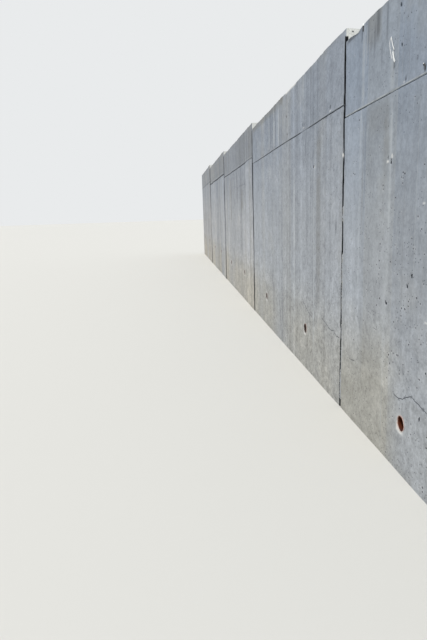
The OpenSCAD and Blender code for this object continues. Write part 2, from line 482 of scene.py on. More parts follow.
def lattice_sides(nx, ny, nz):
    """Quads of the six sides of a block of nx by ny by nz cells, as lattice numbers, seen anticlockwise
    from outside. The lattice number of corner (i, j, k) is (i (ny + 1) + j) (nz + 1) + k."""
    def number(i, j, k):
        return (i * (ny + 1) + j) * (nz + 1) + k

    def quads(a, b, first, second, fixed):
        u, v = np.meshgrid(np.arange(a), np.arange(b), indexing="ij")
        corners = []
        for du, dv in ((0, 0), (1, 0), (1, 1), (0, 1)):
            index = {first: u + du, second: v + dv}
            index.update(fixed)
            corners.append(number(index["i"], index["j"], index["k"]))
        return np.stack([c.ravel() for c in corners], 1)

    return {
        "front": quads(nx, nz, "i", "k", {"j": 0}),
        "back": quads(nx, nz, "i", "k", {"j": ny})[:, ::-1],
        "high_end": quads(ny, nz, "j", "k", {"i": 0})[:, ::-1],
        "low_end": quads(ny, nz, "j", "k", {"i": nx}),
        "bottom": quads(nx, ny, "i", "j", {"k": 0})[:, ::-1],
        "top": quads(nx, ny, "i", "j", {"k": nz}),
    }


def block_loop(i0, i1, k0, k1):
    """The corners round a block of cells of a face, as (i, k), anticlockwise seen from the front."""
    i = np.concatenate([np.arange(i0, i1), np.full(k1 - k0, i1), np.arange(i1, i0, -1), np.full(k1 - k0, i0)])
    k = np.concatenate([np.full(i1 - i0, k0), np.arange(k0, k1), np.full(i1 - i0, k1), np.arange(k1, k0, -1)])
    return i, k


def ring_quads(outer, inner):
    """Quads between two rings of vertex numbers, or between rows of rings."""
    quads = np.stack([outer, np.roll(outer, -1, -1), np.roll(inner, -1, -1), inner], -1)
    return quads.reshape(-1, 4)


class CastBlock:
    """A casting as one closed mesh, on the lattice of the lines xs and zs and six cells through the wall.

    The front stands front(x, z) behind the plane y = -HALF_WALL, the back as far inside the other, and lines
    through the wall join them straight. A large hole replaces a block of cells by rings that pass from the
    block's outline to the hole's rim; a small one stands in a single cell."""

    # Where the lattice lines lie through the wall, as shares of it
    ACROSS = (0.0, 0.05, 0.08, 0.5, 0.92, 0.95, 1.0)
    THROUGH = len(ACROSS) - 1

    def __init__(self, xs, zs, front, back):
        self.xs, self.zs = xs, zs
        self.nx, self.nz = len(xs) - 1, len(zs) - 1
        self.relief = {"front": front, "back": back}
        self.sides = lattice_sides(self.nx, self.THROUGH, self.nz)
        self.kept = {side: np.ones((self.nx, self.nz), bool) for side in ("front", "back")}
        self.points, self.hollow, self.quads, self.triangles = [], [], [], []
        self.lattice_count = (self.nx + 1) * (self.THROUGH + 1) * (self.nz + 1)
        self.count = self.lattice_count

    def number(self, side, i, k):
        """Number of the lattice point (i, k) of a face."""
        j = 0 if side == "front" else self.THROUGH
        return (i * (self.THROUGH + 1) + j) * (self.nz + 1) + k

    def on_face(self, side, x, z, sunk):
        """Points of a face at x and z, sunk by a depth."""
        outward = -1.0 if side == "front" else 1.0
        y = outward * (HALF_WALL - self.relief[side](x, z) - sunk)
        return np.stack([x, y, z], -1)

    def add_points(self, points, hollow):
        """Adds points, an array of any shape by 3, and returns their numbers. Hollow shade is 1 down in a hole,
        where shade is painted dark, and less than 0 on a limy rim, which is painted white as lime and as a
        highlight."""
        shape = points.shape[:-1]
        numbers = self.count + np.arange(np.prod(shape)).reshape(shape)
        self.count += numbers.size
        self.points.append(points.reshape(-1, 3))
        self.hollow.append(np.broadcast_to(np.asarray(hollow, float), shape).ravel())
        return numbers

    def add_faces(self, faces, side):
        """Adds quads or triangles that were numbered anticlockwise as seen from the front."""
        faces = faces[:, ::-1] if side == "back" else faces
        (self.quads if faces.shape[1] == 4 else self.triangles).append(faces)

    def add_ring(self, side, outer, points, hollow):
        """Adds a ring of points inside an outer one, with the quads between them, and returns it."""
        ring = self.add_points(points, hollow)
        self.add_faces(ring_quads(outer, ring), side)
        return ring

    def cut_round(self, side, x0, z0, radius, seed, wear, depth=None, wobble=0.0, lime=0.0):
        """Cuts a large round hole into a face and returns the ring of its rim. A hole with a depth ends in
        a bowl; one without is a bore. The rim is worn in, its radius wobbles by a share of it, and lime
        whitens it, most of all on one side, where the white is also a painted highlight."""
        # The block of cells that the hole takes, with room for its rings
        reach = radius * 1.5 + 0.012
        i0 = np.searchsorted(self.xs, x0 - reach, side="right") - 1
        i1 = np.searchsorted(self.xs, x0 + reach)
        k0 = np.searchsorted(self.zs, z0 - reach, side="right") - 1
        k1 = np.searchsorted(self.zs, z0 + reach)
        self.kept[side][i0:i1, k0:k1] = False
        loop_i, loop_k = block_loop(i0, i1, k0, k1)
        outline_x, outline_z = self.xs[loop_i], self.zs[loop_k]
        angle = np.arctan2(outline_z - z0, outline_x - x0)
        uneven = 1 + wobble * rolling(np.cos(angle), np.sin(angle), 0.8, 2.5, seed)
        rim_x = x0 + radius * uneven * np.cos(angle)
        rim_z = z0 + radius * uneven * np.sin(angle)
        ring = self.number(side, loop_i, loop_k)
        # The lit crescent on the lower left, where the white is a painted highlight
        crescent = 0.12 + 0.88 * ramp(np.cos(angle - LIME_ANGLE), 0.40, 0.90)
        for share, sunk, limy in ((0.55, 0.0, 0.0), (0.86, 0.0, 0.8), (1.0, wear, 1.0)):
            x = outline_x + share * (rim_x - outline_x)
            z = outline_z + share * (rim_z - outline_z)
            ring = self.add_ring(side, ring, self.on_face(side, x, z, sunk), -limy * crescent * lime)
        if depth is None:
            return ring
        for share, sunk in ((0.92, 0.55), (0.72, 0.85), (0.4, 1.0)):
            x = x0 + share * (rim_x - x0)
            z = z0 + share * (rim_z - z0)
            ring = self.add_ring(side, ring, self.on_face(side, x, z, sunk * depth), 1.0)
        middle = self.add_points(self.on_face(side, np.array([x0]), np.array([z0]), depth), 1.0)
        self.add_faces(np.stack([ring, np.roll(ring, -1), np.repeat(middle, len(ring))], 1), side)
        return None

    def bore(self, **hole):
        """Cuts a bore through both faces."""
        self.quads.append(ring_quads(self.cut_round("front", **hole), self.cut_round("back", **hole)))

    def pit_cells(self, side, count, weight, draw, listed=()):
        """Sinks small blowholes into single cells of a face, all of them at once.

        Each listed (x, z, radius) takes the cell nearest to it. The others are drawn without repeats, each
        cell as likely as weight(x, z) says. A blowhole is an oval of eight points whose rings narrow and
        sink towards its middle; three triangles join it to each cell edge."""
        # A blowhole keeps within this factor of its radius, and this far from its cell's edges. Its cell has
        # a least width and height.
        widest, margin, least = 1.45, 0.0004, (0.015, 0.017)
        wide, tall = np.diff(self.xs), np.diff(self.zs)
        usable = self.kept[side] & (wide[:, None] > least[0]) & (tall[None] > least[1])
        i, k = np.nonzero(usable)
        middle_x = (self.xs[i] + self.xs[i + 1]) / 2
        middle_z = (self.zs[k] + self.zs[k + 1]) / 2
        key = draw.random(len(i)) ** (1 / weight(middle_x, middle_z))
        listed = np.array(listed, float).reshape(-1, 3)
        gaps = np.hypot(middle_x[None] - listed[:, :1], middle_z[None] - listed[:, 1:2])
        nearest, first = np.unique(gaps.argmin(1), return_index=True)
        listed = listed[first]
        key[nearest] = -1.0
        chosen = np.concatenate([nearest, np.argsort(-key)[:count]])
        i, k, middle_x, middle_z = i[chosen], k[chosen], middle_x[chosen], middle_z[chosen]
        self.kept[side][i, k] = False
        # Radii from 2.8 to 7.3 mm, most of them small, and none too large for its cell
        radius = np.concatenate([listed[:, 2], 0.0028 + 0.0045 * draw.random(count) ** 2.2])
        radius = np.minimum(radius, np.minimum(wide[i], tall[k]) / 2.95 - 0.0005)
        centres = []
        for middle, size, given in ((middle_x, wide[i], listed[:, 0]), (middle_z, tall[k], listed[:, 1])):
            room = size / 2 - radius * widest - margin
            centre = middle + draw.uniform(-1, 1, len(i)) * room
            centre[:len(listed)] = np.clip(given, (middle - room)[:len(listed)], (middle + room)[:len(listed)])
            centres.append(centre)
        x0, z0 = centres
        angle = np.radians(-135 + 45 * np.arange(8))[None]
        uneven = radius[:, None] * draw.uniform(0.75, 1.15, (len(i), 8))
        corners = [self.number(side, i + a, k + b) for a, b in ((0, 0), (1, 0), (1, 1), (0, 1))]
        rings = []
        # The rings' hollow shade paints a blowhole darker towards its middle
        for share, sunk, hollow in ((1.25, 0.0, -0.12), (1.0, 0.04, 0.6), (0.82, 0.65, 1.0), (0.45, 0.95, 1.0)):
            x = x0[:, None] + share * uneven * np.cos(angle)
            z = z0[:, None] + share * uneven * np.sin(angle)
            rings.append(self.add_points(self.on_face(side, x, z, sunk * radius[:, None]), hollow))
        bottom = self.add_points(self.on_face(side, x0, z0, radius), 1.0)
        first = rings[0]
        for c in range(4):
            a, b = corners[c], corners[(c + 1) % 4]
            r0, r1, r2 = first[:, 2 * c], first[:, 2 * c + 1], first[:, (2 * c + 2) % 8]
            for triangle in ((a, b, r1), (a, r1, r0), (b, r2, r1)):
                self.add_faces(np.stack(triangle, 1), side)
        for outer, inner in zip(rings[:-1], rings[1:]):
            self.add_faces(ring_quads(outer, inner), side)
        last = rings[-1]
        fan = np.stack([last, np.roll(last, -1, 1), np.repeat(bottom[:, None], 8, 1)], -1)
        self.add_faces(fan.reshape(-1, 3), side)

    def build(self, name, shift):
        """Makes the mesh object and returns it with its points, the shade painted at each as it lies in a hole,
        and the side that each face belongs to."""
        for side, mask in self.kept.items():
            self.sides[side] = self.sides[side][mask.ravel()]
        quads = np.concatenate(list(self.sides.values()) + self.quads)
        triangles = np.concatenate(self.triangles) if self.triangles else np.zeros((0, 3), int)
        used, index = np.unique(np.concatenate([quads.ravel(), triangles.ravel()]), return_inverse=True)
        on_lattice = used < self.lattice_count
        i, rest = np.divmod(used[on_lattice], (self.THROUGH + 1) * (self.nz + 1))
        j, k = np.divmod(rest, self.nz + 1)
        x, z = self.xs[i], self.zs[k]
        front = -HALF_WALL + self.relief["front"](x, z)
        back = HALF_WALL - self.relief["back"](x, z)
        y = front + (back - front) * np.array(self.ACROSS)[j]
        ragged = np.abs(0.0012 * rolling(y, z, 0.02, 0.5, self.nx))
        x = x + np.where(i == 0, ragged, 0) - np.where(i == self.nx, ragged, 0)
        points, hollow = np.empty((len(used), 3)), np.zeros(len(used))
        points[on_lattice] = np.stack([x, y, z + shift(x, y, z)], 1)
        if self.points:
            added = used[~on_lattice] - self.lattice_count
            points[~on_lattice] = np.concatenate(self.points)[added]
            hollow[~on_lattice] = np.concatenate(self.hollow)[added]
        quads, triangles = index[:quads.size].reshape(-1, 4), index[quads.size:].reshape(-1, 3)
        piece = mesh_object(name, points, quads, triangles)
        names = [np.full(len(faces), side) for side, faces in self.sides.items()]
        others = len(quads) + len(triangles) - sum(len(n) for n in names)
        return piece, points, hollow, np.concatenate(names + [np.full(others, "holes")])


def mesh_object(name, points, quads, triangles=None):
    """A mesh object at the origin from arrays of vertices, quads and triangles, smooth but for its sharp
    edges."""
    triangles = np.zeros((0, 3), int) if triangles is None else triangles
    mesh = bpy.data.meshes.new(name)
    mesh.vertices.add(len(points))
    mesh.vertices.foreach_set("co", np.asarray(points, np.float32).ravel())
    corners = np.concatenate([quads.ravel(), triangles.ravel()]).astype(np.int32)
    sizes = np.concatenate([np.full(len(quads), 4), np.full(len(triangles), 3)])
    mesh.loops.add(len(corners))
    mesh.loops.foreach_set("vertex_index", corners)
    mesh.polygons.add(len(sizes))
    mesh.polygons.foreach_set("loop_start", np.concatenate([[0], np.cumsum(sizes)[:-1]]).astype(np.int32))
    mesh.update(calc_edges=True)
    mesh.validate()
    mesh.shade_smooth()
    mesh.set_sharp_from_angle(angle=SHARP_ABOVE)
    piece = bpy.data.objects.new(name, mesh)
    bpy.context.scene.collection.objects.link(piece)
    return piece


def lattice_object(name, x, y, z):
    """A closed block as a mesh object from the coordinates of its lattice points by i, j and k; j counts
    from the front to the back and k along the block."""
    points = np.stack(np.broadcast_arrays(x, y, z), -1)
    sides = lattice_sides(*(count - 1 for count in points.shape[:3]))
    return mesh_object(name, points.reshape(-1, 3), np.concatenate(list(sides.values())))


def set_attribute(piece, name, values):
    """Stores one number for each vertex, or the same for all, under a name that a material reads."""
    layer = piece.data.attributes.new(name, "FLOAT", "POINT")
    layer.data.foreach_set("value", np.full(len(piece.data.vertices), values, np.float32))


def finish_piece(piece, material, slot, *nodes):
    """Gives a piece its material, hangs it on the wall's body and hides the CAD nodes that it stands for.
    The slot is not used."""
    piece.data.materials.append(material)
    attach(piece, BODY)
    if nodes:
        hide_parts(*nodes)


def pour_gap(bay, x, z):
    """Height above the wavy line between two pours of a lower lift."""
    if bay in POUR_LINES:
        away, height = np.array(POUR_LINES[bay]).T
        line = np.interp(from_low_end(bay, x), away, height)
    else:
        line = 0.55 + 0.105 * (bay - 1) + 0.03 * rolling(x, 0, 0.3, 2.5, bay + 40)
    return z - line - 0.003 * rolling(x, 0, 0.04, 0.16, bay + 60)


def pour_line_seen(bay, x):
    """How clearly the line between two pours shows at a place along a bay, from 0 to 1."""
    if bay not in POUR_LINES:
        return 0.5 * ramp(rolling(x, 0, 0.3, 1.5, bay + 70), 0.4, 1.0)
    seen = np.zeros_like(x)
    for where, start, end in POUR_LINE_SEEN:
        if where == bay:
            seen = np.maximum(seen, window(from_low_end(bay, x), start, end, 0.02))
    return seen


def listed_marks(bay, lift):
    """Kind, two ends, lowest and highest point and strength of each mark that is listed for a casting."""
    return [(kind, *mark) for kind, marks in MARKS.get((bay, lift), {}).items() for mark in marks]


def mark_blends(start, end, low, high):
    """Half the width over which the upright and the level edges of a mark fade: a share of its size."""
    return min(0.3 * (end - start), MARK_BLEND[0]), min(0.3 * (high - low), MARK_BLEND[1])


def mark_casting(piece, points, hollow, bay, lift):
    """Stores what the concrete's material reads for each point: the marks of MARKS by kind, seeded ones where
    none are listed, the bitumen and the painted shade of the gap in the joints, the heights above the pour
    line and the lift joint, and a number that gives each pour its own pattern."""
    x, y, z = points.T
    low_end, high_end = bay_span(bay)
    away = low_end - x
    top = top_level(bay)
    in_front = y < 0
    seed = seed_of(bay, lift)
    draw = np.random.default_rng(seed)
    marks = {kind: np.zeros(len(x)) for kind in MARK_KINDS}
    for kind, start, end, low, high, strength in listed_marks(bay, lift):
        uneven = 1.0
        if high - low > 0.3 and kind != "tone":
            uneven = 0.7 + 0.3 * rolling(z, 0, 0.08, 0.8, int(start * 100))
        soft, blend = mark_blends(start, end, low, high)
        inside = window(away, start, end, soft) * window(z, low, high, blend)
        marks[kind] += in_front * strength * uneven * inside
    # Panels of different tones and streaks at their joints, where the front isn't given by the list
    joints, edges = panel_edges(bay)
    shares = draw.uniform(-0.06, 0.06, len(edges))
    free = ~in_front | (bay not in PANEL_JOINTS)
    marks["tone"] += free * shares[panel_at(edges, x)]
    for place in joints:
        strengths = draw.uniform(0.1, 0.5, 2)
        run = ramp(rolling(z, 0, 0.4, 2.5, seed + int(place * 10) % 97), -0.3, 0.5)
        marks["bleed"] += free * strengths[0] * hump(x, place + 0.012, 0.016) * run
        marks["soot"] += free * strengths[1] * hump(x, place - 0.004, 0.006) * run
    far = bay > LAST_NEAR_BAY
    if lift == "crest":
        # Drips from the top, 40 to 500 mm apart and 60 to 420 mm long
        drip = ramp(rolling(x, in_front * 0.37, 0.04, 0.5, seed + 2), 0.5, 1.6)
        length = 0.06 + 0.12 * (1 + rolling(x, in_front * 0.11, 0.1, 1.0, seed + 3)).clip(0, 2)
        marks["stain"] += (0.9 if far else 0.45) * drip * np.exp(-(top - z) / length)
        marks["stain"] += 0.35 * hump(z, top, 0.03) + 0.12 * far
        marks["tone"] -= 0.07 * far
    else:
        foot = ramp(rolling(x, 0, 0.05, 0.6, seed + 4), -0.6, 0.8)
        marks["stain"] += 0.45 * hump(z, 0.0, 0.06) * foot
        marks["tone"] += 0.03 * far
    for end in (low_end, high_end):
        marks["stain"] += 0.15 * hump(x, end, 0.035)
    # Soil splashed up from the foot, in patches a few metres long, which also carry the painted ground bounce
    splashed = 0.75 + 0.35 * rolling(x, in_front * 3.1, 1.2, 6.0, bay + 30)
    # The groove's painted dark line of dirt and shade, with its own strength along bay 1
    dirt = 1 - groove_filled(bay, x) * in_front
    dust = of_number(DUST, bay)
    if bay == 1:
        splashed = np.where(in_front, 1 - 0.85 * (1 - ramp(away, 3.65, 4.15)), splashed)
        dirt = dirt * np.interp(away, (3.6, 4.1, 4.45, 4.6), (0.75, 0.70, 0.62, 1.25))
        dust = dust * ramp(z, 0.8, 2.9)
    # Rims of holes whitened as lime and, on their lit side, as a painted highlight
    marks["lime"] += (-hollow).clip(0, 1)
    marks["tone"] += 1
    stored = {kind: values.clip(0, 2 if kind == "tone" else 1) for kind, values in marks.items()}
    stored.update(
        tar=joint_tar(bay, x, y, z, seed).clip(0, 1),
        hollow=hollow.clip(0, 1),
        # Paler towards the top: a washed crust, and painted sunlight on the upper ends and the tops
        washed=ramp(z, top - 0.6, top - 0.05),
        splashed=splashed.clip(0, 1),
        dust=dust,
        banding=of_number(BANDING, bay),
        lift_gap=(z - lift_level(bay) - groove_sag(bay, x)) / of_number(GROOVE_ROUGHNESS, bay),
        groove_dirt=dirt,
        # Painted highlight on the groove's upper lip, strongest in bay 1
        groove_lip=1.0 if bay == 1 else 0.15,
        pour_gap=pour_gap(bay, x, z) if lift == "stem" else 1.0,
        pour_seen=pour_line_seen(bay, x) * in_front,
        pour_seed=seed * 1.37,
    )
    for name, values in stored.items():
        set_attribute(piece, name, values)


def joint_tar(bay, x, y, z, seed):
    """Bitumen and dirt on the ends of a bay inside a joint and on their worn edges, with the shade of the gap
    painted in the same dark colour, from 0 up. A low end is bare above the top of the bay before it; in bay 2
    the painted shade reaches higher, most of all at the face, for the dark void at the top of the first joint."""
    low_end, high_end = bay_span(bay)
    smeared = (1 + 0.4 * rolling(z, 0, 0.06, 0.8, seed + 8)).clip(0.6, 1.8)
    tar = np.zeros(len(x))
    if bay > 1:
        bare = top_level(bay - 1) - 0.030
        if bay == 2:
            bare = bare + 0.038 + 0.042 * ramp(-y, HALF_WALL - 0.031, HALF_WALL - 0.025)
        wide = of_number(TAR_ABOVE, bay - 1) * smeared
        tar += (1 - ramp(low_end - x, 0.005, wide)) * (1 - ramp(z, bare - 0.008, bare))
    if bay < BAYS:
        tar += 1 - ramp(x - high_end, 0.003, of_number(TAR_BELOW, bay) * smeared)
    return tar


def mark_lines(bay, lift):
    """Mesh lines that narrow and low marks need, along the wall and up it."""
    along, up = [], []
    for _, start, end, low, high, _ in listed_marks(bay, lift):
        soft, blend = mark_blends(start, end, low, high)
        if end - start < 0.12:
            along += [start - soft, start + soft, end - soft, end + soft]
        if high - low < 0.10:
            up += [low - blend, low + blend, high - blend, high + blend]
    return bay_span(bay)[0] - np.array(along), np.array(up)


def wall_lines(bay, lift):
    """Mesh lines of a casting along the wall and up it, closer at the edges, the groove, the panel joints
    and narrow marks."""
    sizes = bpy.context.scene.wall_sizes
    low_end, high_end = bay_span(bay)
    level, top = lift_level(bay), top_level(bay)
    coarse = 1.0 if bay <= LAST_NEAR_BAY else FAR_SPACING
    fin_lines = np.concatenate([panel_edges(bay)[0] + d for d in (-0.008, -0.004, 0.0, 0.004, 0.008)])
    along, up = mark_lines(bay, lift)
    xs = spaced_lines(high_end, low_end, sizes.line_x * coarse,
                      np.concatenate([high_end + EDGE_LINES, low_end - EDGE_LINES, fin_lines, along]))
    groove_lines = sizes.groove_width / 2 * np.array([1.0, 0.5, 1.6])
    if lift == "stem":
        zs = spaced_lines(0.0, level, sizes.line_z * coarse,
                          np.concatenate([level - groove_lines, [0.008], up]))
    else:
        # The bay before this one ends below its top, and the tar and the painted gap shade with it
        tar_lines = top_level(max(bay - 1, 1)) + np.array([-0.038, -0.030, 0.0, 0.008, 0.042, 0.050])
        zs = spaced_lines(level, top, sizes.line_z * coarse,
                          np.concatenate([level + groove_lines, top - EDGE_LINES[:4], tar_lines, up]))
    return xs, zs


def round_holes(bay, lift):
    """The large round holes of a casting's front, as settings of CastBlock.cut_round."""
    tie_depth = bpy.context.scene.wall_sizes.tie_depth
    wear, wobble = (0.0008, 0.35) if lift == "stem" else (0.001, 0.06)
    return [dict(x0=bay_span(bay)[0] - away, z0=height, radius=radius, depth=depth[0] if depth else tie_depth,
                 seed=int(away * 1000), wear=wear, wobble=wobble)
            for away, height, radius, *depth in ROUND_HOLES.get((bay, lift), ())]


def pipe_bores(bay):
    """The bores that hold the weep pipes of a bay, 0.4 mm wider than they are. Lime has run out round their
    rims."""
    low_end, high_end = bay_span(bay)
    bores = []
    for pipe in range(1, PIPES + 1):
        low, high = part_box(f"weep_pipe_{pipe}")
        x, _, z = (low + high) / 2
        if high_end < x < low_end:
            bores.append(dict(x0=x, z0=z, radius=(high[2] - low[2]) / 2 + 0.0004, wear=0.0015, seed=pipe,
                              lime=1.0 if pipe == CLEAN_PIPE else 0.7))
    return bores


def pit_weight(bay, side):
    """How likely a blowhole is, as a function of x and z: more of them low down and in clusters."""
    seed = bay * 7 + (3 if side == "back" else 0)

    def weight(x, z):
        base = 0.4 + 0.8 * np.exp(-z / 0.9) + 0.8 * ramp(rolling(x, z, 0.4, 1.6, seed), 0.3, 1.5)
        return base ** 3

    return weight


def make_casting(bay, lift):
    """Makes the casting of one lift, marks it for its material and puts it in place of the CAD node."""
    node = f"{lift}_{bay}"
    stem = lift == "stem"
    blowholes = bpy.context.scene.wall_sizes.blowholes
    block = CastBlock(*wall_lines(bay, lift), face_relief(bay, lift, "front"), face_relief(bay, lift, "back"))
    if stem:
        for hole in pipe_bores(bay):
            block.bore(**hole)
    for hole in round_holes(bay, lift):
        block.cut_round("front", **hole)
    draw = np.random.default_rng(bay * 1000 + (1 if stem else 2))
    for side in ("front", "back"):
        listed = [(bay_span(bay)[0] - away, height, radius / 1000 * BLOWHOLE_SCALE)
                  for away, height, radius in BLOWHOLES if (bay, lift, side) == (1, "stem", "front")]
        # Upper lifts have few blowholes, and the near face of bay 1 has three times as many
        share = (1.0 if stem else 0.15) * (3.0 if listed else 1.0)
        block.pit_cells(side, int(blowholes * share), pit_weight(bay, side), draw, listed)
    piece, points, hollow, groups = block.build(f"{node}_casting", edge_shift(bay, lift))
    mark_casting(piece, points, hollow, bay, lift)
    finish_piece(piece, formed_concrete(), "concrete", node)
    piece.data.materials.append(weathered_concrete())
    weathered = np.isin(groups, ("high_end", "low_end", "top"))
    piece.data.polygons.foreach_set("material_index", weathered.astype(np.int32))


# The kinds of shader node that the materials use: the node's type, its settings, the sockets that take the
# inputs in order, and the sockets that are read
NODES = {
    "mix": ("ShaderNodeMix", {"data_type": "RGBA"}, (0, 6, 7), (2,)),
    "tint": ("ShaderNodeMix", {"data_type": "RGBA", "blend_type": "MULTIPLY"}, (0, 6, 7), (2,)),
    "range": ("ShaderNodeMapRange", {"interpolation_type": "SMOOTHSTEP"}, (0, 1, 2, 3, 4), (0,)),
    "stored": ("ShaderNodeAttribute", {}, (), ("Fac",)),
    "place": ("ShaderNodeTexCoord", {}, (), ("Object",)),
    "axes": ("ShaderNodeSeparateXYZ", {}, (0,), (0, 1, 2)),
    "split": ("ShaderNodeSeparateColor", {}, (0,), (0, 1)),
    "colour": ("ShaderNodeCombineColor", {}, (0, 1, 2), (0,)),
    "noise": ("ShaderNodeTexNoise", {}, ("Vector", "Scale", "Detail", "Roughness"), (0,)),
    "colour_noise": ("ShaderNodeTexNoise", {}, ("Vector", "Scale", "Detail"), ("Color",)),
    "noise_4d": ("ShaderNodeTexNoise", {"noise_dimensions": "4D"},
                 ("Vector", "W", "Scale", "Detail", "Roughness"), (0,)),
    "mapping": ("ShaderNodeMapping", {}, (0, 3), (0,)),
    "cells": ("ShaderNodeTexVoronoi", {}, ("Vector", "Scale"), ("Distance", "Color")),
    "bands": ("ShaderNodeTexVoronoi", {"voronoi_dimensions": "1D", "feature": "SMOOTH_F1"},
              ("W", "Scale", "Smoothness"), ("Color",)),
    "band_edges": ("ShaderNodeTexVoronoi", {"voronoi_dimensions": "1D", "feature": "DISTANCE_TO_EDGE"},
                   ("W", "Scale"), ("Distance",)),
    "shift": ("ShaderNodeVectorMath", {"operation": "MULTIPLY_ADD"}, (0, 1, 2), (0,)),
    "ribs": ("ShaderNodeTexWave", {"bands_direction": "Z"}, ("Vector", "Scale"), ("Fac",)),
    "bump": ("ShaderNodeBump", {}, ("Height", "Distance", "Strength"), (0,)),
    "shader": ("ShaderNodeBsdfPrincipled", {}, ("Base Color", "Roughness", "Specular IOR Level", "Normal"),
               (0,)),
    "surface": ("ShaderNodeOutputMaterial", {}, ("Surface",), ()),
    "rays": ("ShaderNodeLightPath", {}, (), ("Is Camera Ray", "Is Glossy Ray", "Is Transmission Ray")),
    "background": ("ShaderNodeBackground", {}, (0, 1), (0,)),
    "choose": ("ShaderNodeMixShader", {}, (0, 1, 2), (0,)),
    "world": ("ShaderNodeOutputWorld", {}, (0,), ()),
}
NODES |= {kind: ("ShaderNodeMath", {"operation": operation}, (0, 1), (0,)) for kind, operation in (
    ("plus", "ADD"), ("minus", "SUBTRACT"), ("times", "MULTIPLY"), ("larger", "MAXIMUM"), ("size", "ABSOLUTE"),
    ("below", "LESS_THAN"))}
# Noise of scale 1 has marks about this many metres across
NOISE_MARK = 0.5


def add(tree, kind, *inputs, **settings):
    """Adds a shader node of a kind in NODES with its settings and links, and returns its output or outputs.

    An input is a value, or the output of another node to link from. Inputs beyond the node's sockets are
    taken up by more nodes of the same kind, as in a sum of several terms."""
    node_type, own_settings, sockets, outputs = NODES[kind]
    while len(inputs) > len(sockets):
        inputs = (add(tree, kind, *inputs[:len(sockets)]), *inputs[len(sockets):])
    node = tree.nodes.new(node_type)
    for key, value in {**own_settings, **settings}.items():
        setattr(node, key, value)
    for key, value in zip(sockets, inputs):
        if isinstance(value, bpy.types.NodeSocket):
            tree.links.new(value, node.inputs[key])
        elif value is not None:
            node.inputs[key].default_value = value
    found = [node.outputs[key] for key in outputs]
    return found[0] if len(found) == 1 else found


def node_material(build):
    """Turns a function that adds the nodes of a material into one that returns the material, which is named
    after the function and made only once."""
    @wraps(build)
    def material():
        made = bpy.data.materials.get(build.__name__)
        if made is None:
            made = bpy.data.materials.new(build.__name__)
            made.use_nodes = True
            made.node_tree.nodes.clear()
            build(partial(add, made.node_tree), bpy.context.scene.wall_colours)
        return made

    return material


def paint(node, base, *layers):
    """A colour with layers laid over it in order, each a share and its own colour."""
    for share, colour in layers:
        base = node("mix", share, base, colour)
    return base


def close_material(node, colour, roughness, specular=0.5, bump=None):
    """Ends a material in one Principled shader and its output. A bump has a height, the length that a height
    of 1 stands for, and a strength."""
    normal = bump and node("bump", *bump)
    node("surface", node("shader", colour, roughness, specular, normal))


def stored_numbers(node, *names):
    """Outputs of the numbers that were stored on the mesh, by name."""
    return {name: node("stored", attribute_name=name) for name in names}


def stretched_noise(node, place, seed, width, height, detail):
    """Noise whose marks are about width metres wide and height metres tall, different for each seed."""
    scaled = node("mapping", place, (1 / width, 1 / 0.3, 1 / height))
    return node("noise_4d", scaled, seed, 1.0, detail, 0.55)


def patchy(node, share, pattern, low, high, least, most=1.0):
    """A share cut down to the part least where a pattern is at low, and to the part most where it is at
    high."""
    return node("times", share, node("range", pattern, low, high, least, most))


def upright_bands(node, along, width, share):
    """Upright bands about width metres wide with firm edges, as a factor on the colour that lies within a
    share of 1, and as a random number for each band."""
    lot, other_lot = node("split", node("bands", along, 1 / width, 0.12))
    return node("range", lot, 0.0, 1.0, 1 - share, 1 + share), other_lot


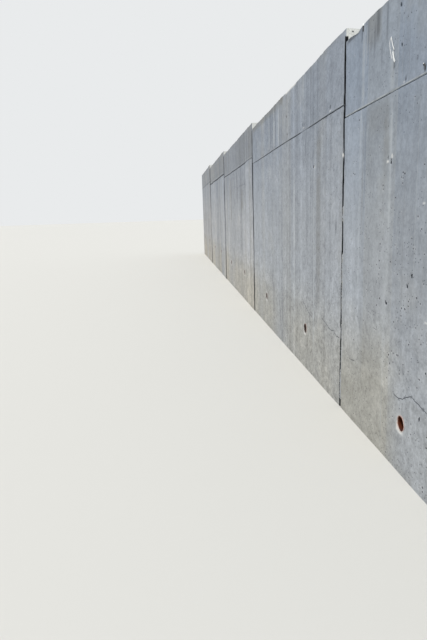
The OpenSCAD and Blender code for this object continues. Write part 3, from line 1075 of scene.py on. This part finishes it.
@node_material
def formed_concrete(node, colours):
    """Concrete cast against plywood panels: a smooth, chalky grey skin with upright bleed streaks, clouded
    and mottled patches, blowholes, a wavy line between two pours and soil near the foot. Shade is painted
    into its holes, groove, crack and joints, highlights onto limy rims and the groove's lip, and light
    bounced off the ground near the foot."""
    stored = stored_numbers(
        node, "tone", "dust", "banding", "splashed", "bleed", "stain", "soot", "lime", "tar", "hollow",
        "pour_gap", "pour_seen", "pour_seed", "lift_gap", "groove_lip", "groove_dirt")
    place = node("place")
    x, y, height = node("axes", place)

    # Clouds 0.6 m across, streaks 30 mm wide, blotches of 80, 25 and 9 mm, grain of 2 mm
    cloud = stretched_noise(node, place, stored["pour_seed"], 0.7, 0.6, 4.0)
    fade = stretched_noise(node, place, stored["pour_seed"], 0.5, 1.4, 2.0)
    streak = stretched_noise(node, place, stored["pour_seed"], 0.03, 2.5, 1.0)
    blotch = node("noise", place, NOISE_MARK / 0.08, 5.0, 0.62)
    mottle = node("noise", place, NOISE_MARK / 0.025, 3.0, 0.6)
    speck = node("noise", place, NOISE_MARK / 0.009, 2.0, 0.6)
    grain = node("noise", place, NOISE_MARK / 0.002, 2.0)

    # Bands 260, 85 and 35 mm wide run on through both lifts and fade in and out up the wall. The back has
    # its own.
    slim_width = 0.085
    along = node("plus", x, node("times", y, 7.0))
    wide, wide_lot = upright_bands(node, along, 0.26, 0.05)
    slim, slim_lot = upright_bands(node, along, slim_width, 0.055)
    thin, _ = upright_bands(node, node("plus", along, 40.0), 0.035, 0.03)

    # Warmer near the foot: soil, and painted warm light bounced off the ground
    soil = node("times", node("range", height, 0.25, 1.15, 1.0, 0.0), stored["splashed"])
    warmth = node("plus", soil, node("range", cloud, 0.5, 0.75, 0.0, 0.25),
                  node("range", wide_lot, 0.55, 0.9, 0.0, 0.18))
    base = paint(node, colours.face_middle, (node("range", height, 1.3, 2.9), colours.face_high),
                 (warmth, colours.face_low))
    # Each tone is a factor on the colour, close to 1
    bands = node("times", node("minus", node("times", wide, slim, thin), 1.0),
                 node("range", fade, 0.3, 0.65, 0.3, 1.2), stored["banding"])
    # The skin is blotchier near the foot and in the bays from the second on
    skin = node("plus", *(node("range", pattern, 0.3, 0.7, -reach, reach) for pattern, reach in (
        (blotch, 0.075), (mottle, 0.07), (speck, 0.065), (grain, 0.045))))
    skin = node("times", skin, node("range", height, 0.3, 1.6, 1.85, 1.0),
                node("range", stored["banding"], 0.6, 1.0, 1.0, 1.3))
    tone = node("times", stored["tone"], node("plus", bands, 1.0), node("range", cloud, 0.3, 0.7, 0.94, 1.06),
                node("range", streak, 0.3, 0.7, 0.98, 1.02), node("plus", skin, 1.0))
    # Dust takes as much from the blue as it adds to the red
    red = node("times", tone, node("plus", 1.0, stored["dust"]))
    blue = node("times", tone, node("minus", 1.0, stored["dust"]))
    base = node("tint", 1.0, base, node("colour", red, tone, blue))

    # Hair lines of grout and of dirt 6 mm wide at the edges of some slim bands
    edge = node("band_edges", along, 1 / slim_width)
    hair = patchy(node, node("range", edge, 0.02, 0.05, 1.0, 0.0), fade, 0.45, 0.6, 0.0)
    pale_hair = patchy(node, hair, slim_lot, 0.62, 0.7, 0.0, 0.5)
    dark_hair = patchy(node, hair, slim_lot, 0.2, 0.28, 0.35, 0.0)
    pale = patchy(node, stored["bleed"], blotch, 0.25, 0.55, 0.55)
    stained = node("times", patchy(node, stored["stain"], blotch, 0.3, 0.65, 0.5), 0.8)
    # Grime marks, some of them painted shade and shadow
    sooty = patchy(node, stored["soot"], mottle, 0.3, 0.6, 0.6)

    # The line between two pours is a crack about 3 mm wide with crumbs lost beside it, painted dark as grime
    # and as their shade, with painted shade just below the line
    near_gap = node("size", stored["pour_gap"])
    crack = patchy(node, node("range", near_gap, 0.001, 0.005, 1.0, 0.0), blotch, 0.35, 0.5, 0.3, 0.9)
    crumbs = patchy(node, node("range", near_gap, 0.004, 0.022, 1.0, 0.0), mottle, 0.53, 0.60, 0.0, 0.6)
    crack = node("times", node("larger", crack, crumbs), stored["pour_seen"])
    below_gap = node("range", stored["pour_gap"], -0.04, 0.0, 0.14, 0.0)

    # A line 5 mm wide in the groove is painted dark as dirt and as shade, under a lip of pale grout that is
    # painted lighter as a highlight, and loose grout left holes of 10 to 30 mm beside it, painted dark as shade
    lift_gap = stored["lift_gap"]
    groove = node("range", node("size", node("plus", lift_gap, 0.001)), 0.0016, 0.0050, 0.88, 0.0)
    groove = patchy(node, node("times", groove, stored["groove_dirt"]), blotch, 0.35, 0.5, 0.55)
    lip = node("range", node("size", node("minus", lift_gap, 0.007)), 0.002, 0.006, 0.9, 0.0)
    lip = patchy(node, node("times", lip, stored["groove_lip"]), mottle, 0.35, 0.6, 0.55)
    loose = patchy(node, node("range", node("size", lift_gap), 0.008, 0.045, 1.0, 0.0), cloud, 0.52, 0.60, 0.0)
    loose = patchy(node, loose, mottle, 0.54, 0.62, 0.0, 0.7)

    # Blowholes too small for the mesh, 4 to 8 mm across, thick in clusters about 0.4 m wide and lower down,
    # painted dark as their shade
    cluster = node("noise", place, NOISE_MARK / 0.2, 2.0)
    distance, cell_colour = node("cells", place, 48.0)
    share = node("plus", node("range", cluster, 0.45, 0.62, 0.0, 0.30),
                 node("range", height, 0.2, 1.8, 0.10, 0.02))
    chosen = node("below", node("split", cell_colour)[0], share)
    hole = node("times", node("range", distance, 0.13, 0.26, 1.0, 0.0), chosen)
    # Lime and chips, with painted highlights on lit rims
    limy = patchy(node, stored["lime"], mottle, 0.3, 0.55, 0.6)
    # Bitumen on the ends in the joints, and the joint gap's painted shade
    tarred = patchy(node, stored["tar"], blotch, 0.25, 0.4, 0.88)

    # Holes and the small blowholes are painted dark as their shade, with some grime
    base = paint(
        node, base, (pale_hair, colours.bleed), (dark_hair, colours.stain), (pale, colours.bleed),
        (stained, colours.stain), (sooty, colours.soot), (crack, colours.soot), (below_gap, colours.stain),
        (lip, colours.bleed), (groove, colours.soot), (loose, colours.soot),
        (node("times", hole, 0.8), colours.soot), (limy, colours.lime),
        (node("times", stored["hollow"], 0.95), colours.soot), (tarred, colours.board))
    relief = node("minus", node("times", grain, 0.12), hole)
    relief = node("minus", node("plus", relief, node("times", speck, 0.35)), node("times", loose, 2.0), crack)
    roughness = node("range", streak, 0.3, 0.7, 0.78, 0.92)
    close_material(node, base, roughness, 0.25, (relief, 0.002, 0.7))


@node_material
def weathered_concrete(node, colours):
    """Concrete struck off by hand on the tops, and cast against rough boards at the ends: sandy and grey,
    paler near the top as a washed crust and as painted sunlight, with a painted highlight on the top and its
    edges, small holes where grit has come out and grime in patches."""
    stored = stored_numbers(node, "washed", "stain", "tar")
    place = node("place")
    # Patches 0.1 m across, mottling of 15 mm, crumbs of 6 mm, sand of 1.5 mm
    patch = node("noise", place, NOISE_MARK / 0.10, 6.0, 0.6)
    mottle = node("noise", place, NOISE_MARK / 0.015, 4.0, 0.65)
    crumb = node("noise", place, NOISE_MARK / 0.006, 2.0)
    sand = node("noise", place, NOISE_MARK / 0.0015, 2.0)
    # Paler near the top, as a washed crust and as painted sunlight
    base = paint(node, colours.face_middle,
                 (patchy(node, stored["washed"], patch, 0.35, 0.6, 0.45), colours.edge_cream),
                 (node("range", patch, 0.52, 0.72, 0.0, 0.55), colours.stain))
    tone = node("times", node("range", mottle, 0.35, 0.65, 0.74, 1.12),
                node("range", sand, 0.3, 0.7, 0.92, 1.05), node("range", crumb, 0.35, 0.65, 0.72, 1.14))
    base = node("tint", 1.0, base, node("colour", tone, tone, tone))

    # Where grit came out: ragged holes 3 to 15 mm wide, thicker in some places than in others, painted dark
    # as their shade
    jitter = node("colour_noise", place, 60.0, 2.0)
    distance, cell_colour = node("cells", node("shift", jitter, (0.03, 0.03, 0.03), place), 28.0)
    lot, other_lot = node("split", cell_colour)
    size = node("plus", node("times", other_lot, other_lot, other_lot, 0.2), 0.03)
    hole = node("times", node("below", distance, size),
                node("below", lot, node("range", patch, 0.42, 0.6, 0.12, 0.6)))
    # The board left bitumen on the ends that face a joint, and the same dark colour paints the gap's shade
    # there
    base = paint(
        # A painted highlight on the top and its edges, in the lime colour
        node, base, (node("range", stored["washed"], 0.93, 1.0, 0.0, 0.45), colours.lime),
        (patchy(node, hole, mottle, 0.35, 0.5, 0.35, 0.85), colours.soot),
        (node("times", stored["stain"], 0.3), colours.stain), (stored["tar"], colours.board))
    relief = node("plus", node("times", sand, 0.3), node("times", crumb, 0.5), mottle)
    close_material(node, base, 0.92, 0.2, (node("minus", relief, hole), 0.003, 0.7))


@node_material
def bitumen_board(node, colours):
    """Wood fibre pressed into board and soaked in bitumen: near black, matt, with a torn fibrous edge."""
    # Fibres about 2 mm thick and 30 mm long, which makes it look torn
    fibre = stretched_noise(node, node("place"), 0.0, 0.002, 0.03, 2.0)
    base = paint(node, colours.board, (node("range", fibre, 0.4, 0.75, 0.0, 0.5), colours.soot))
    close_material(node, base, 0.95, 0.1, (fibre, 0.002, 0.8))


@node_material
def drain_plastic(node, colours):
    """Unplasticised PVC drain pipe, extruded: orange-brown, faded and chalky towards its cut end, with lime
    from the concrete on the rim and a painted highlight on its lower left, painted shade deeper inside, a dark
    run of silt along its floor and, on most pipes, a coat of grey soil that is heavier inside as painted shade."""
    stored = stored_numbers(node, "rim", "silt", "deep", "soil")
    # Blotches 10 mm across
    blotch = node("noise", node("place"), NOISE_MARK / 0.01, 4.0)
    # Deeper inside, the pipe is painted dark as shade
    base = paint(
        node, colours.pipe, (node("range", blotch, 0.35, 0.75, 0.0, 0.35), colours.rust),
        (node("times", stored["deep"], 0.95), colours.pipe_inside), (stored["soil"], colours.pipe_soil),
        (patchy(node, stored["silt"], blotch, 0.3, 0.6, 0.5), colours.soot),
        (patchy(node, stored["rim"], blotch, 0.3, 0.55, 0.55), colours.lime))
    close_material(node, base, 0.5, 0.25, (blotch, 0.001, 0.4))


@node_material
def lime_mortar(node, colours):
    """Sand and cement mortar pushed in by hand: pale, coarse and uneven."""
    # Sand 1.5 mm across in lumps of 17 mm
    place = node("place")
    sand = node("noise", place, 330.0, 3.0)
    lump = node("noise", place, 30.0, 3.0)
    base = paint(node, colours.face_middle, (node("range", lump, 0.35, 0.7, 0.0, 0.8), colours.mortar),
                 (node("range", sand, 0.5, 0.75, 0.0, 0.4), colours.stain))
    close_material(node, base, 0.95, bump=(sand, 0.003, 0.7))


@node_material
def strap_plastic(node, colours):
    """Polypropylene strapping, rolled with a fine weave: white, slightly glossy, soiled in patches."""
    # Soil in patches of 8 mm, ribs 1 mm apart across the strap
    place = node("place")
    soil = node("noise", place, 60.0, 3.0)
    base = paint(node, colours.strap, (node("range", soil, 0.5, 0.8, 0.0, 0.35), colours.stain))
    close_material(node, base, 0.45, bump=(node("ribs", place, 160.0), 0.0004, 0.5))


@node_material
def rusted_steel(node, colours):
    """Mild steel bar and wire left in the rain: dark brown scale with lighter bloom."""
    # Flakes of scale 2 mm across
    scale = node("noise", node("place"), NOISE_MARK / 0.002, 4.0)
    base = paint(node, colours.rust, (node("range", scale, 0.4, 0.75, 0.0, 0.7), colours.rust_bloom))
    close_material(node, base, 0.85, bump=(scale, 0.0006, 0.7))


@node_material
def studio_floor(node, colours):
    """Plain matt paint."""
    close_material(node, colours.floor, 0.9)


def swept_tube(name, path, radius, sides):
    """A round bar along a path: rings of points at right angles to the path, joined by quads, with a point
    at each end. Each ring turns with the path's own direction and a fixed side direction."""
    along = np.gradient(path, axis=0)
    along /= np.linalg.norm(along, axis=1)[:, None]
    side = np.cross(along, [0.31, 0.87, 0.39])
    side /= np.linalg.norm(side, axis=1)[:, None]
    other = np.cross(along, side)
    angle = np.arange(sides) * 2 * math.pi / sides
    radius = np.broadcast_to(radius, len(path))
    rings = path[:, None] + radius[:, None, None] * (
        np.cos(angle)[None, :, None] * side[:, None] + np.sin(angle)[None, :, None] * other[:, None])
    numbers = np.arange(rings.size // 3).reshape(len(path), sides)
    following = np.roll(numbers, -1, 1)
    fans = [np.stack([following[0], numbers[0], np.full(sides, numbers.size)], 1),
            np.stack([numbers[-1], following[-1], np.full(sides, numbers.size + 1)], 1)]
    points = np.concatenate([rings.reshape(-1, 3), path[:1], path[-1:]])
    return mesh_object(name, points, ring_quads(numbers[:-1], numbers[1:]), np.concatenate(fans))


def make_board(joint):
    """The board of one joint as a closed block: its narrow edges are torn, so they stand up to 8 mm deeper
    in places, by a smooth random function of the height, and bulge by 3 mm in the middle."""
    low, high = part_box(f"joint_board_{joint}")
    zs = spaced_lines(low[2], high[2], 0.03)
    xs = np.array([low[0], (low[0] + high[0]) / 2, high[0]])
    bulge = np.array([0.0, 0.003, 0.0])[:, None]
    torn_front, torn_back = (0.004 * (1 + rolling(zs, 0, 0.03, 0.4, seed)) for seed in (joint, joint + 9))
    y = np.stack([low[1] + torn_front - bulge, high[1] - torn_back + bulge], 1)
    piece = lattice_object(f"joint_board_{joint}_fibreboard", xs[:, None, None], y, zs)
    finish_piece(piece, bitumen_board(), "joint_board", f"joint_board_{joint}")


def make_pipe(pipe):
    """One weep pipe as a closed tube: a cross-section of its wall carried round its axis. Its two cut ends
    are a little uneven, by a smooth random function of the angle, and their edges are broken."""
    low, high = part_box(f"weep_pipe_{pipe}")
    middle = (low + high) / 2
    half = (high[1] - low[1]) / 2
    outer = (high[2] - low[2]) / 2
    inner = outer - PIPE_WALL
    edge_break = 0.0006
    clean = pipe == CLEAN_PIPE
    angle = np.arange(PIPE_SIDES) * 2 * math.pi / PIPE_SIDES
    cut = 0.0012 * np.abs(rolling(np.cos(angle), np.sin(angle), 0.4, 2.0, pipe))
    # Cross-section of the wall, from the front end along the outside, over the back end and inside again
    stations = 0.996 * np.array([-1.0, -0.985, -0.94, -0.85, -0.6, 0.0, 0.6, 0.85, 0.94, 0.985, 1.0])
    lengthwise = np.concatenate([[-1.0], stations, [1.0, 1.0], stations[::-1], [-1.0]])
    radius = np.repeat([outer, inner], len(stations) + 2)
    radius[[0, len(stations) + 1]] -= edge_break
    radius[[len(stations) + 2, -1]] += edge_break
    points = np.stack([middle[0] + radius[:, None] * np.cos(angle),
                       middle[1] + lengthwise[:, None] * (half - cut),
                       middle[2] + radius[:, None] * np.sin(angle)], -1)
    numbers = np.arange(points.size // 3).reshape(points.shape[:2])
    quads = ring_quads(numbers.T, np.roll(numbers, -1, 1).T)
    piece = mesh_object(f"weep_pipe_{pipe}_drain", points.reshape(-1, 3), quads)
    inside = (radius < outer - PIPE_WALL / 2)[:, None]
    from_end = half - np.abs(points[..., 1] - middle[1])
    # Lime on the pipe's rim, brighter on the lower left as a painted highlight
    limy = 0.55 + 0.45 * ramp(np.cos(angle - LIME_ANGLE), -0.1, 0.7)
    stored = {
        "rim": 0.9 * (1 - from_end / (0.010 if clean else 0.004)).clip(0, 1) * limy,
        # Painted shade deeper inside the pipe
        "deep": inside * ramp(from_end, 0.0, 0.008),
        # Soil on most pipes, heavier inside as painted shade
        "soil": (0.0 if clean else 1.0) * (0.45 + 0.45 * inside * ramp(from_end, 0.0, 0.003)),
        "silt": inside * ramp(-np.sin(angle), 0.75, 0.98) * (0.35 if clean else 0.8),
    }
    for name, values in stored.items():
        set_attribute(piece, name, values.ravel())
    finish_piece(piece, drain_plastic(), "pipe", f"weep_pipe_{pipe}")


def make_mortar(name, joint, course, seed):
    """Mortar in a movement joint as a closed lump, 23 mm deep: a strip whose course lists heights and how
    deep its face lies behind the wall's there. The face is uneven by a smooth random function of 2 mm and
    domed by 2 mm in half a sine wave, and it falls away by 18 mm over the last 40 mm at either end."""
    board_low, board_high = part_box(f"joint_board_{joint}")
    heights, depths = np.array(course).T
    low, high = heights[0], heights[-1]
    zs = np.linspace(low, high, max(8, int((high - low) / 0.008)))
    across = np.linspace(0, 1, 7)[:, None]
    fill = np.minimum(1, np.minimum(zs - low, high - zs).clip(0) / 0.04) ** 0.5
    x = board_low[0] + 0.0005 + (board_high[0] - board_low[0] - 0.001) * across
    sunk = (np.interp(zs, heights, depths) + 0.0022 * rolling(x * 3, zs, 0.01, 0.06, seed)
            + 0.018 * (1 - fill) - 0.002 * np.sin(math.pi * across))
    y = -HALF_WALL + np.stack([sunk, np.full_like(sunk, 0.023)], 1)
    finish_piece(lattice_object(name, x[:, None], y, zs), lime_mortar(), "concrete")


class WALL_OT_cast_stems(bpy.types.Operator):
    """Cast the lower lift of every bay, with its bores and blowholes"""

    bl_idname = "wall.cast_stems"
    bl_label = "Cast lower lifts"

    def execute(self, context):
        for bay in range(1, BAYS + 1):
            make_casting(bay, "stem")
        return {"FINISHED"}


class WALL_OT_cast_crests(bpy.types.Operator):
    """Cast the upper lift of every bay on the lower one"""

    bl_idname = "wall.cast_crests"
    bl_label = "Cast upper lifts"

    def execute(self, context):
        for bay in range(1, BAYS + 1):
            make_casting(bay, "crest")
        return {"FINISHED"}


class WALL_OT_fit_boards(bpy.types.Operator):
    """Fit the fibreboard into each movement joint"""

    bl_idname = "wall.fit_boards"
    bl_label = "Fit joint boards"

    def execute(self, context):
        for joint in range(1, BAYS):
            make_board(joint)
        return {"FINISHED"}


class WALL_OT_lay_pipes(bpy.types.Operator):
    """Lay the weep pipes through the lower lifts"""

    bl_idname = "wall.lay_pipes"
    bl_label = "Lay weep pipes"

    def execute(self, context):
        for pipe in range(1, PIPES + 1):
            make_pipe(pipe)
        return {"FINISHED"}


class WALL_OT_point_joint(bpy.types.Operator):
    """Push mortar into the first two movement joints where the old wall has it"""

    bl_idname = "wall.point_joint"
    bl_label = "Point the joints"

    def execute(self, context):
        make_mortar("joint_1_mortar_middle", 1, ((1.62, 0.002), (1.80, 0.002)), 1)
        make_mortar("joint_1_mortar_foot", 1, (
            (0.05, 0.0005), (0.31, 0.001), (0.37, 0.007), (0.84, 0.0075),
            (0.90, 0.004), (1.11, 0.004), (1.15, 0.0025), (1.40, 0.003)), 3)
        make_mortar("joint_2_mortar_top", 2, ((3.045, 0.008), (3.155, 0.005)), 5)
        return {"FINISHED"}


class WALL_OT_add_fittings(bpy.types.Operator):
    """Add the strap, the capped bar end and the wire hook that were left on the first bay"""

    bl_idname = "wall.add_fittings"
    bl_label = "Add left fittings"

    def execute(self, context):
        make_strap()
        make_capped_bar()
        make_hook()
        return {"FINISHED"}


def bent(points, count):
    """A smooth path through a few points, by a cubic curve through each four of them."""
    points = np.asarray(points, float)
    padded = np.concatenate([2 * points[:1] - points[1:2], points, 2 * points[-1:] - points[-2:-1]])
    t = np.linspace(0, len(points) - 1.000001, count)
    i = t.astype(int)
    f = (t - i)[:, None]
    a, b, c, d = (padded[i + n] for n in range(4))
    return 0.5 * (2 * b + (c - a) * f + (2 * a - 5 * b + 4 * c - d) * f ** 2 + (3 * b - a - 3 * c + d) * f ** 3)


def near_face(points, count=PATH_POINTS):
    """A smooth path through a few places on the face of bay 1, each given as its distance from the low end,
    its height and its distance off the face."""
    away, height, off = bent(points, count).T
    return np.stack([bay_span(1)[0] - away, -HALF_WALL - off, height], 1)


def make_ribbon(name, path, widths, thickness):
    """A flat strap along a path on the face: the path moved by half the width to either side within the
    face's plane, and the same again by the thickness further off the face."""
    tangent = np.gradient(path[:, ::2], axis=0)
    tangent /= np.linalg.norm(tangent, axis=1)[:, None]
    sides = np.array([-0.5, 0.5])[:, None, None] * widths
    x, y, z = path.T
    piece = lattice_object(name, x + sides * tangent[:, 1], y - np.array([thickness, 0.0])[:, None],
                           z - sides * tangent[:, 0])
    finish_piece(piece, strap_plastic(), "pipe")


def make_strap():
    """A plastic strap caught in the face of bay 1: a thin run down the wall, its broader folded end, and a
    second thin run to its left, joined at the top."""
    make_ribbon("strap_run", near_face((
        (4.066, 2.812, 0.001), (4.049, 2.785, 0.003), (4.030, 2.752, 0.004), (4.012, 2.722, 0.002))),
        0.0095, 0.0008)
    make_ribbon("strap_fold", near_face((
        (4.032, 2.718, 0.002), (4.018, 2.694, 0.004), (4.006, 2.668, 0.005), (3.994, 2.648, 0.002))),
        0.0150 + 0.003 * np.sin(np.linspace(0, math.pi, PATH_POINTS)), 0.0010)
    make_ribbon("strap_left", near_face((
        (4.068, 2.810, 0.0005), (4.088, 2.786, 0.001), (4.080, 2.750, 0.001), (4.064, 2.712, 0.001),
        (4.048, 2.680, 0.0005))), 0.0062, 0.0006)


def make_capped_bar():
    """The end of a reinforcing bar with a plastic cap, at the top front edge of bay 1 by the first joint. Each
    of the two is turned from heights and radii."""
    foot = np.array([bay_span(1)[0] - 4.577, -HALF_WALL - 0.002, top_level(1) - 0.052])
    bar = ((0.0, 0.004), (0.003, 0.0065), (0.022, 0.0065), (0.040, 0.0065))
    cap = ((0.037, 0.0070), (0.039, 0.0078), (0.045, 0.0075), (0.050, 0.0055), (0.053, 0.0025))
    for name, turned, sides, material, slot in (("bar_end", bar, 12, rusted_steel, "concrete"),
                                                ("bar_cap", cap, 20, strap_plastic, "pipe")):
        heights, radii = np.array(turned).T
        piece = swept_tube(name, foot + heights[:, None] * [0, 0, 1], radii, sides)
        finish_piece(piece, material(), slot)


def make_hook():
    """A bent tie wire that sticks out of the face just above the groove of bay 1, with a dab of grout on its
    bend."""
    wire = near_face((
        (3.597, 2.520, -0.003), (3.588, 2.526, 0.005), (3.574, 2.524, 0.008), (3.566, 2.512, 0.007),
        (3.570, 2.498, 0.004), (3.578, 2.482, -0.003)))
    finish_piece(swept_tube("wire_hook", wire, 0.0034, 8), rusted_steel(), "concrete")
    dab = near_face(((3.586, 2.528, 0.008), (3.581, 2.529, 0.009), (3.576, 2.527, 0.009)), 8)
    radii = 0.0030 * np.sin(np.linspace(0.15, math.pi - 0.15, 8))
    finish_piece(swept_tube("hook_grout", dab, radii, 8), strap_plastic(), "concrete")


class WALL_OT_set_stage(bpy.types.Operator):
    """Set up the pale floor, the studio light and the camera at the photograph's angle"""

    bl_idname = "wall.set_stage"
    bl_label = "Set the stage"

    def execute(self, context):
        make_floor()
        make_lights()
        make_camera()
        return {"FINISHED"}


def make_floor():
    """A plain floor, level with the foot of the wall."""
    reach = 200.0
    corners = np.array([[-1, -1, 0], [1, -1, 0], [1, 1, 0], [-1, 1, 0]], float) * reach
    floor = mesh_object("studio_floor", corners, np.array([[0, 1, 2, 3]]))
    floor.data.materials.append(studio_floor())


def make_lights():
    """A soft sun high behind the camera, raking along the face, and an even pale world."""
    sun = bpy.data.lights.new("key", "SUN")
    sun.energy = 2.6
    sun.angle = math.radians(8)
    sun.color = (1.0, 0.985, 0.955)
    lamp = bpy.data.objects.new("key", sun)
    off_wall, elevation = math.radians(28), math.radians(50)
    towards_light = Vector((math.cos(off_wall), -math.sin(off_wall), 0)) * math.cos(elevation)
    towards_light.z = math.sin(elevation)
    lamp.rotation_euler = towards_light.to_track_quat("Z", "Y").to_euler()
    bpy.context.scene.collection.objects.link(lamp)
    world = bpy.data.worlds.new("studio")
    bpy.context.scene.world = world
    world.use_nodes = True
    world.node_tree.nodes.clear()
    colours = bpy.context.scene.wall_colours
    node = partial(add, world.node_tree)
    # The camera and clear reflections see the backdrop, and everything else is lit by the sky
    node("world", node("choose", node("larger", *node("rays")), node("background", colours.sky_light, 0.68),
                       node("background", colours.backdrop, 1.0)))
    bpy.context.scene.view_settings.view_transform = "Standard"


def make_camera():
    """A camera at the photograph's place: 1.44 m from the face, eye high, looking up the row with the wall
    on its right. Its angles and focal length were worked out from the joint lines and the lift joint."""
    focal_pixels = 531.6
    yaw, pitch, roll = 0.0717, 0.1957, 0.0320
    data = bpy.data.cameras.new("camera")
    data.sensor_fit = "VERTICAL"
    data.sensor_height = 24.0
    data.lens = focal_pixels / PHOTO_SIZE[1] * data.sensor_height
    data.clip_end = 1000
    camera = bpy.data.objects.new("camera", data)
    first_joint = bay_span(1)[1] - 0.0125
    place = Vector((first_joint + 4.479, -HALF_WALL - 1.445, 1.742))
    turn = (Matrix.Rotation(math.pi / 2 - yaw, 3, "Z") @ Matrix.Rotation(math.pi / 2 - pitch, 3, "X")
            @ Matrix.Rotation(-roll, 3, "Z"))
    camera.matrix_world = Matrix.Translation(place) @ turn.to_4x4()
    bpy.context.scene.collection.objects.link(camera)
    bpy.context.scene.camera = camera


class WALL_PT_panel(bpy.types.Panel):
    """Lists the steps that finish the wall"""

    bl_idname = "WALL_PT_panel"
    bl_label = "Retaining wall"
    bl_space_type = "VIEW_3D"
    bl_region_type = "UI"
    bl_category = "Wall"

    def draw(self, context):
        for operator in OPERATORS:
            self.layout.operator(operator.bl_idname)
        for group in (context.scene.wall_sizes, context.scene.wall_colours):
            column = self.layout.column()
            for name in group.__annotations__:
                column.prop(group, name)


OPERATORS = (
    WALL_OT_set_stage,
    WALL_OT_cast_stems,
    WALL_OT_cast_crests,
    WALL_OT_fit_boards,
    WALL_OT_lay_pipes,
    WALL_OT_point_joint,
    WALL_OT_add_fittings,
)
CLASSES = (WallSizes, WallColours) + OPERATORS + (WALL_PT_panel,)


def register():
    """Adds the classes to Blender, and the sizes and colours to its scenes."""
    for cls in CLASSES:
        bpy.utils.register_class(cls)
    bpy.types.Scene.wall_sizes = PointerProperty(type=WallSizes)
    bpy.types.Scene.wall_colours = PointerProperty(type=WallColours)


def unregister():
    """Takes out what register added."""
    del bpy.types.Scene.wall_colours
    del bpy.types.Scene.wall_sizes
    for cls in reversed(CLASSES):
        bpy.utils.unregister_class(cls)


def main():
    register()
    bpy.ops.wall.set_stage()
    bpy.ops.wall.cast_stems()
    bpy.ops.wall.cast_crests()
    bpy.ops.wall.fit_boards()
    bpy.ops.wall.lay_pipes()
    bpy.ops.wall.point_joint()
    bpy.ops.wall.add_fittings()


if __name__ == "__main__":
    main()
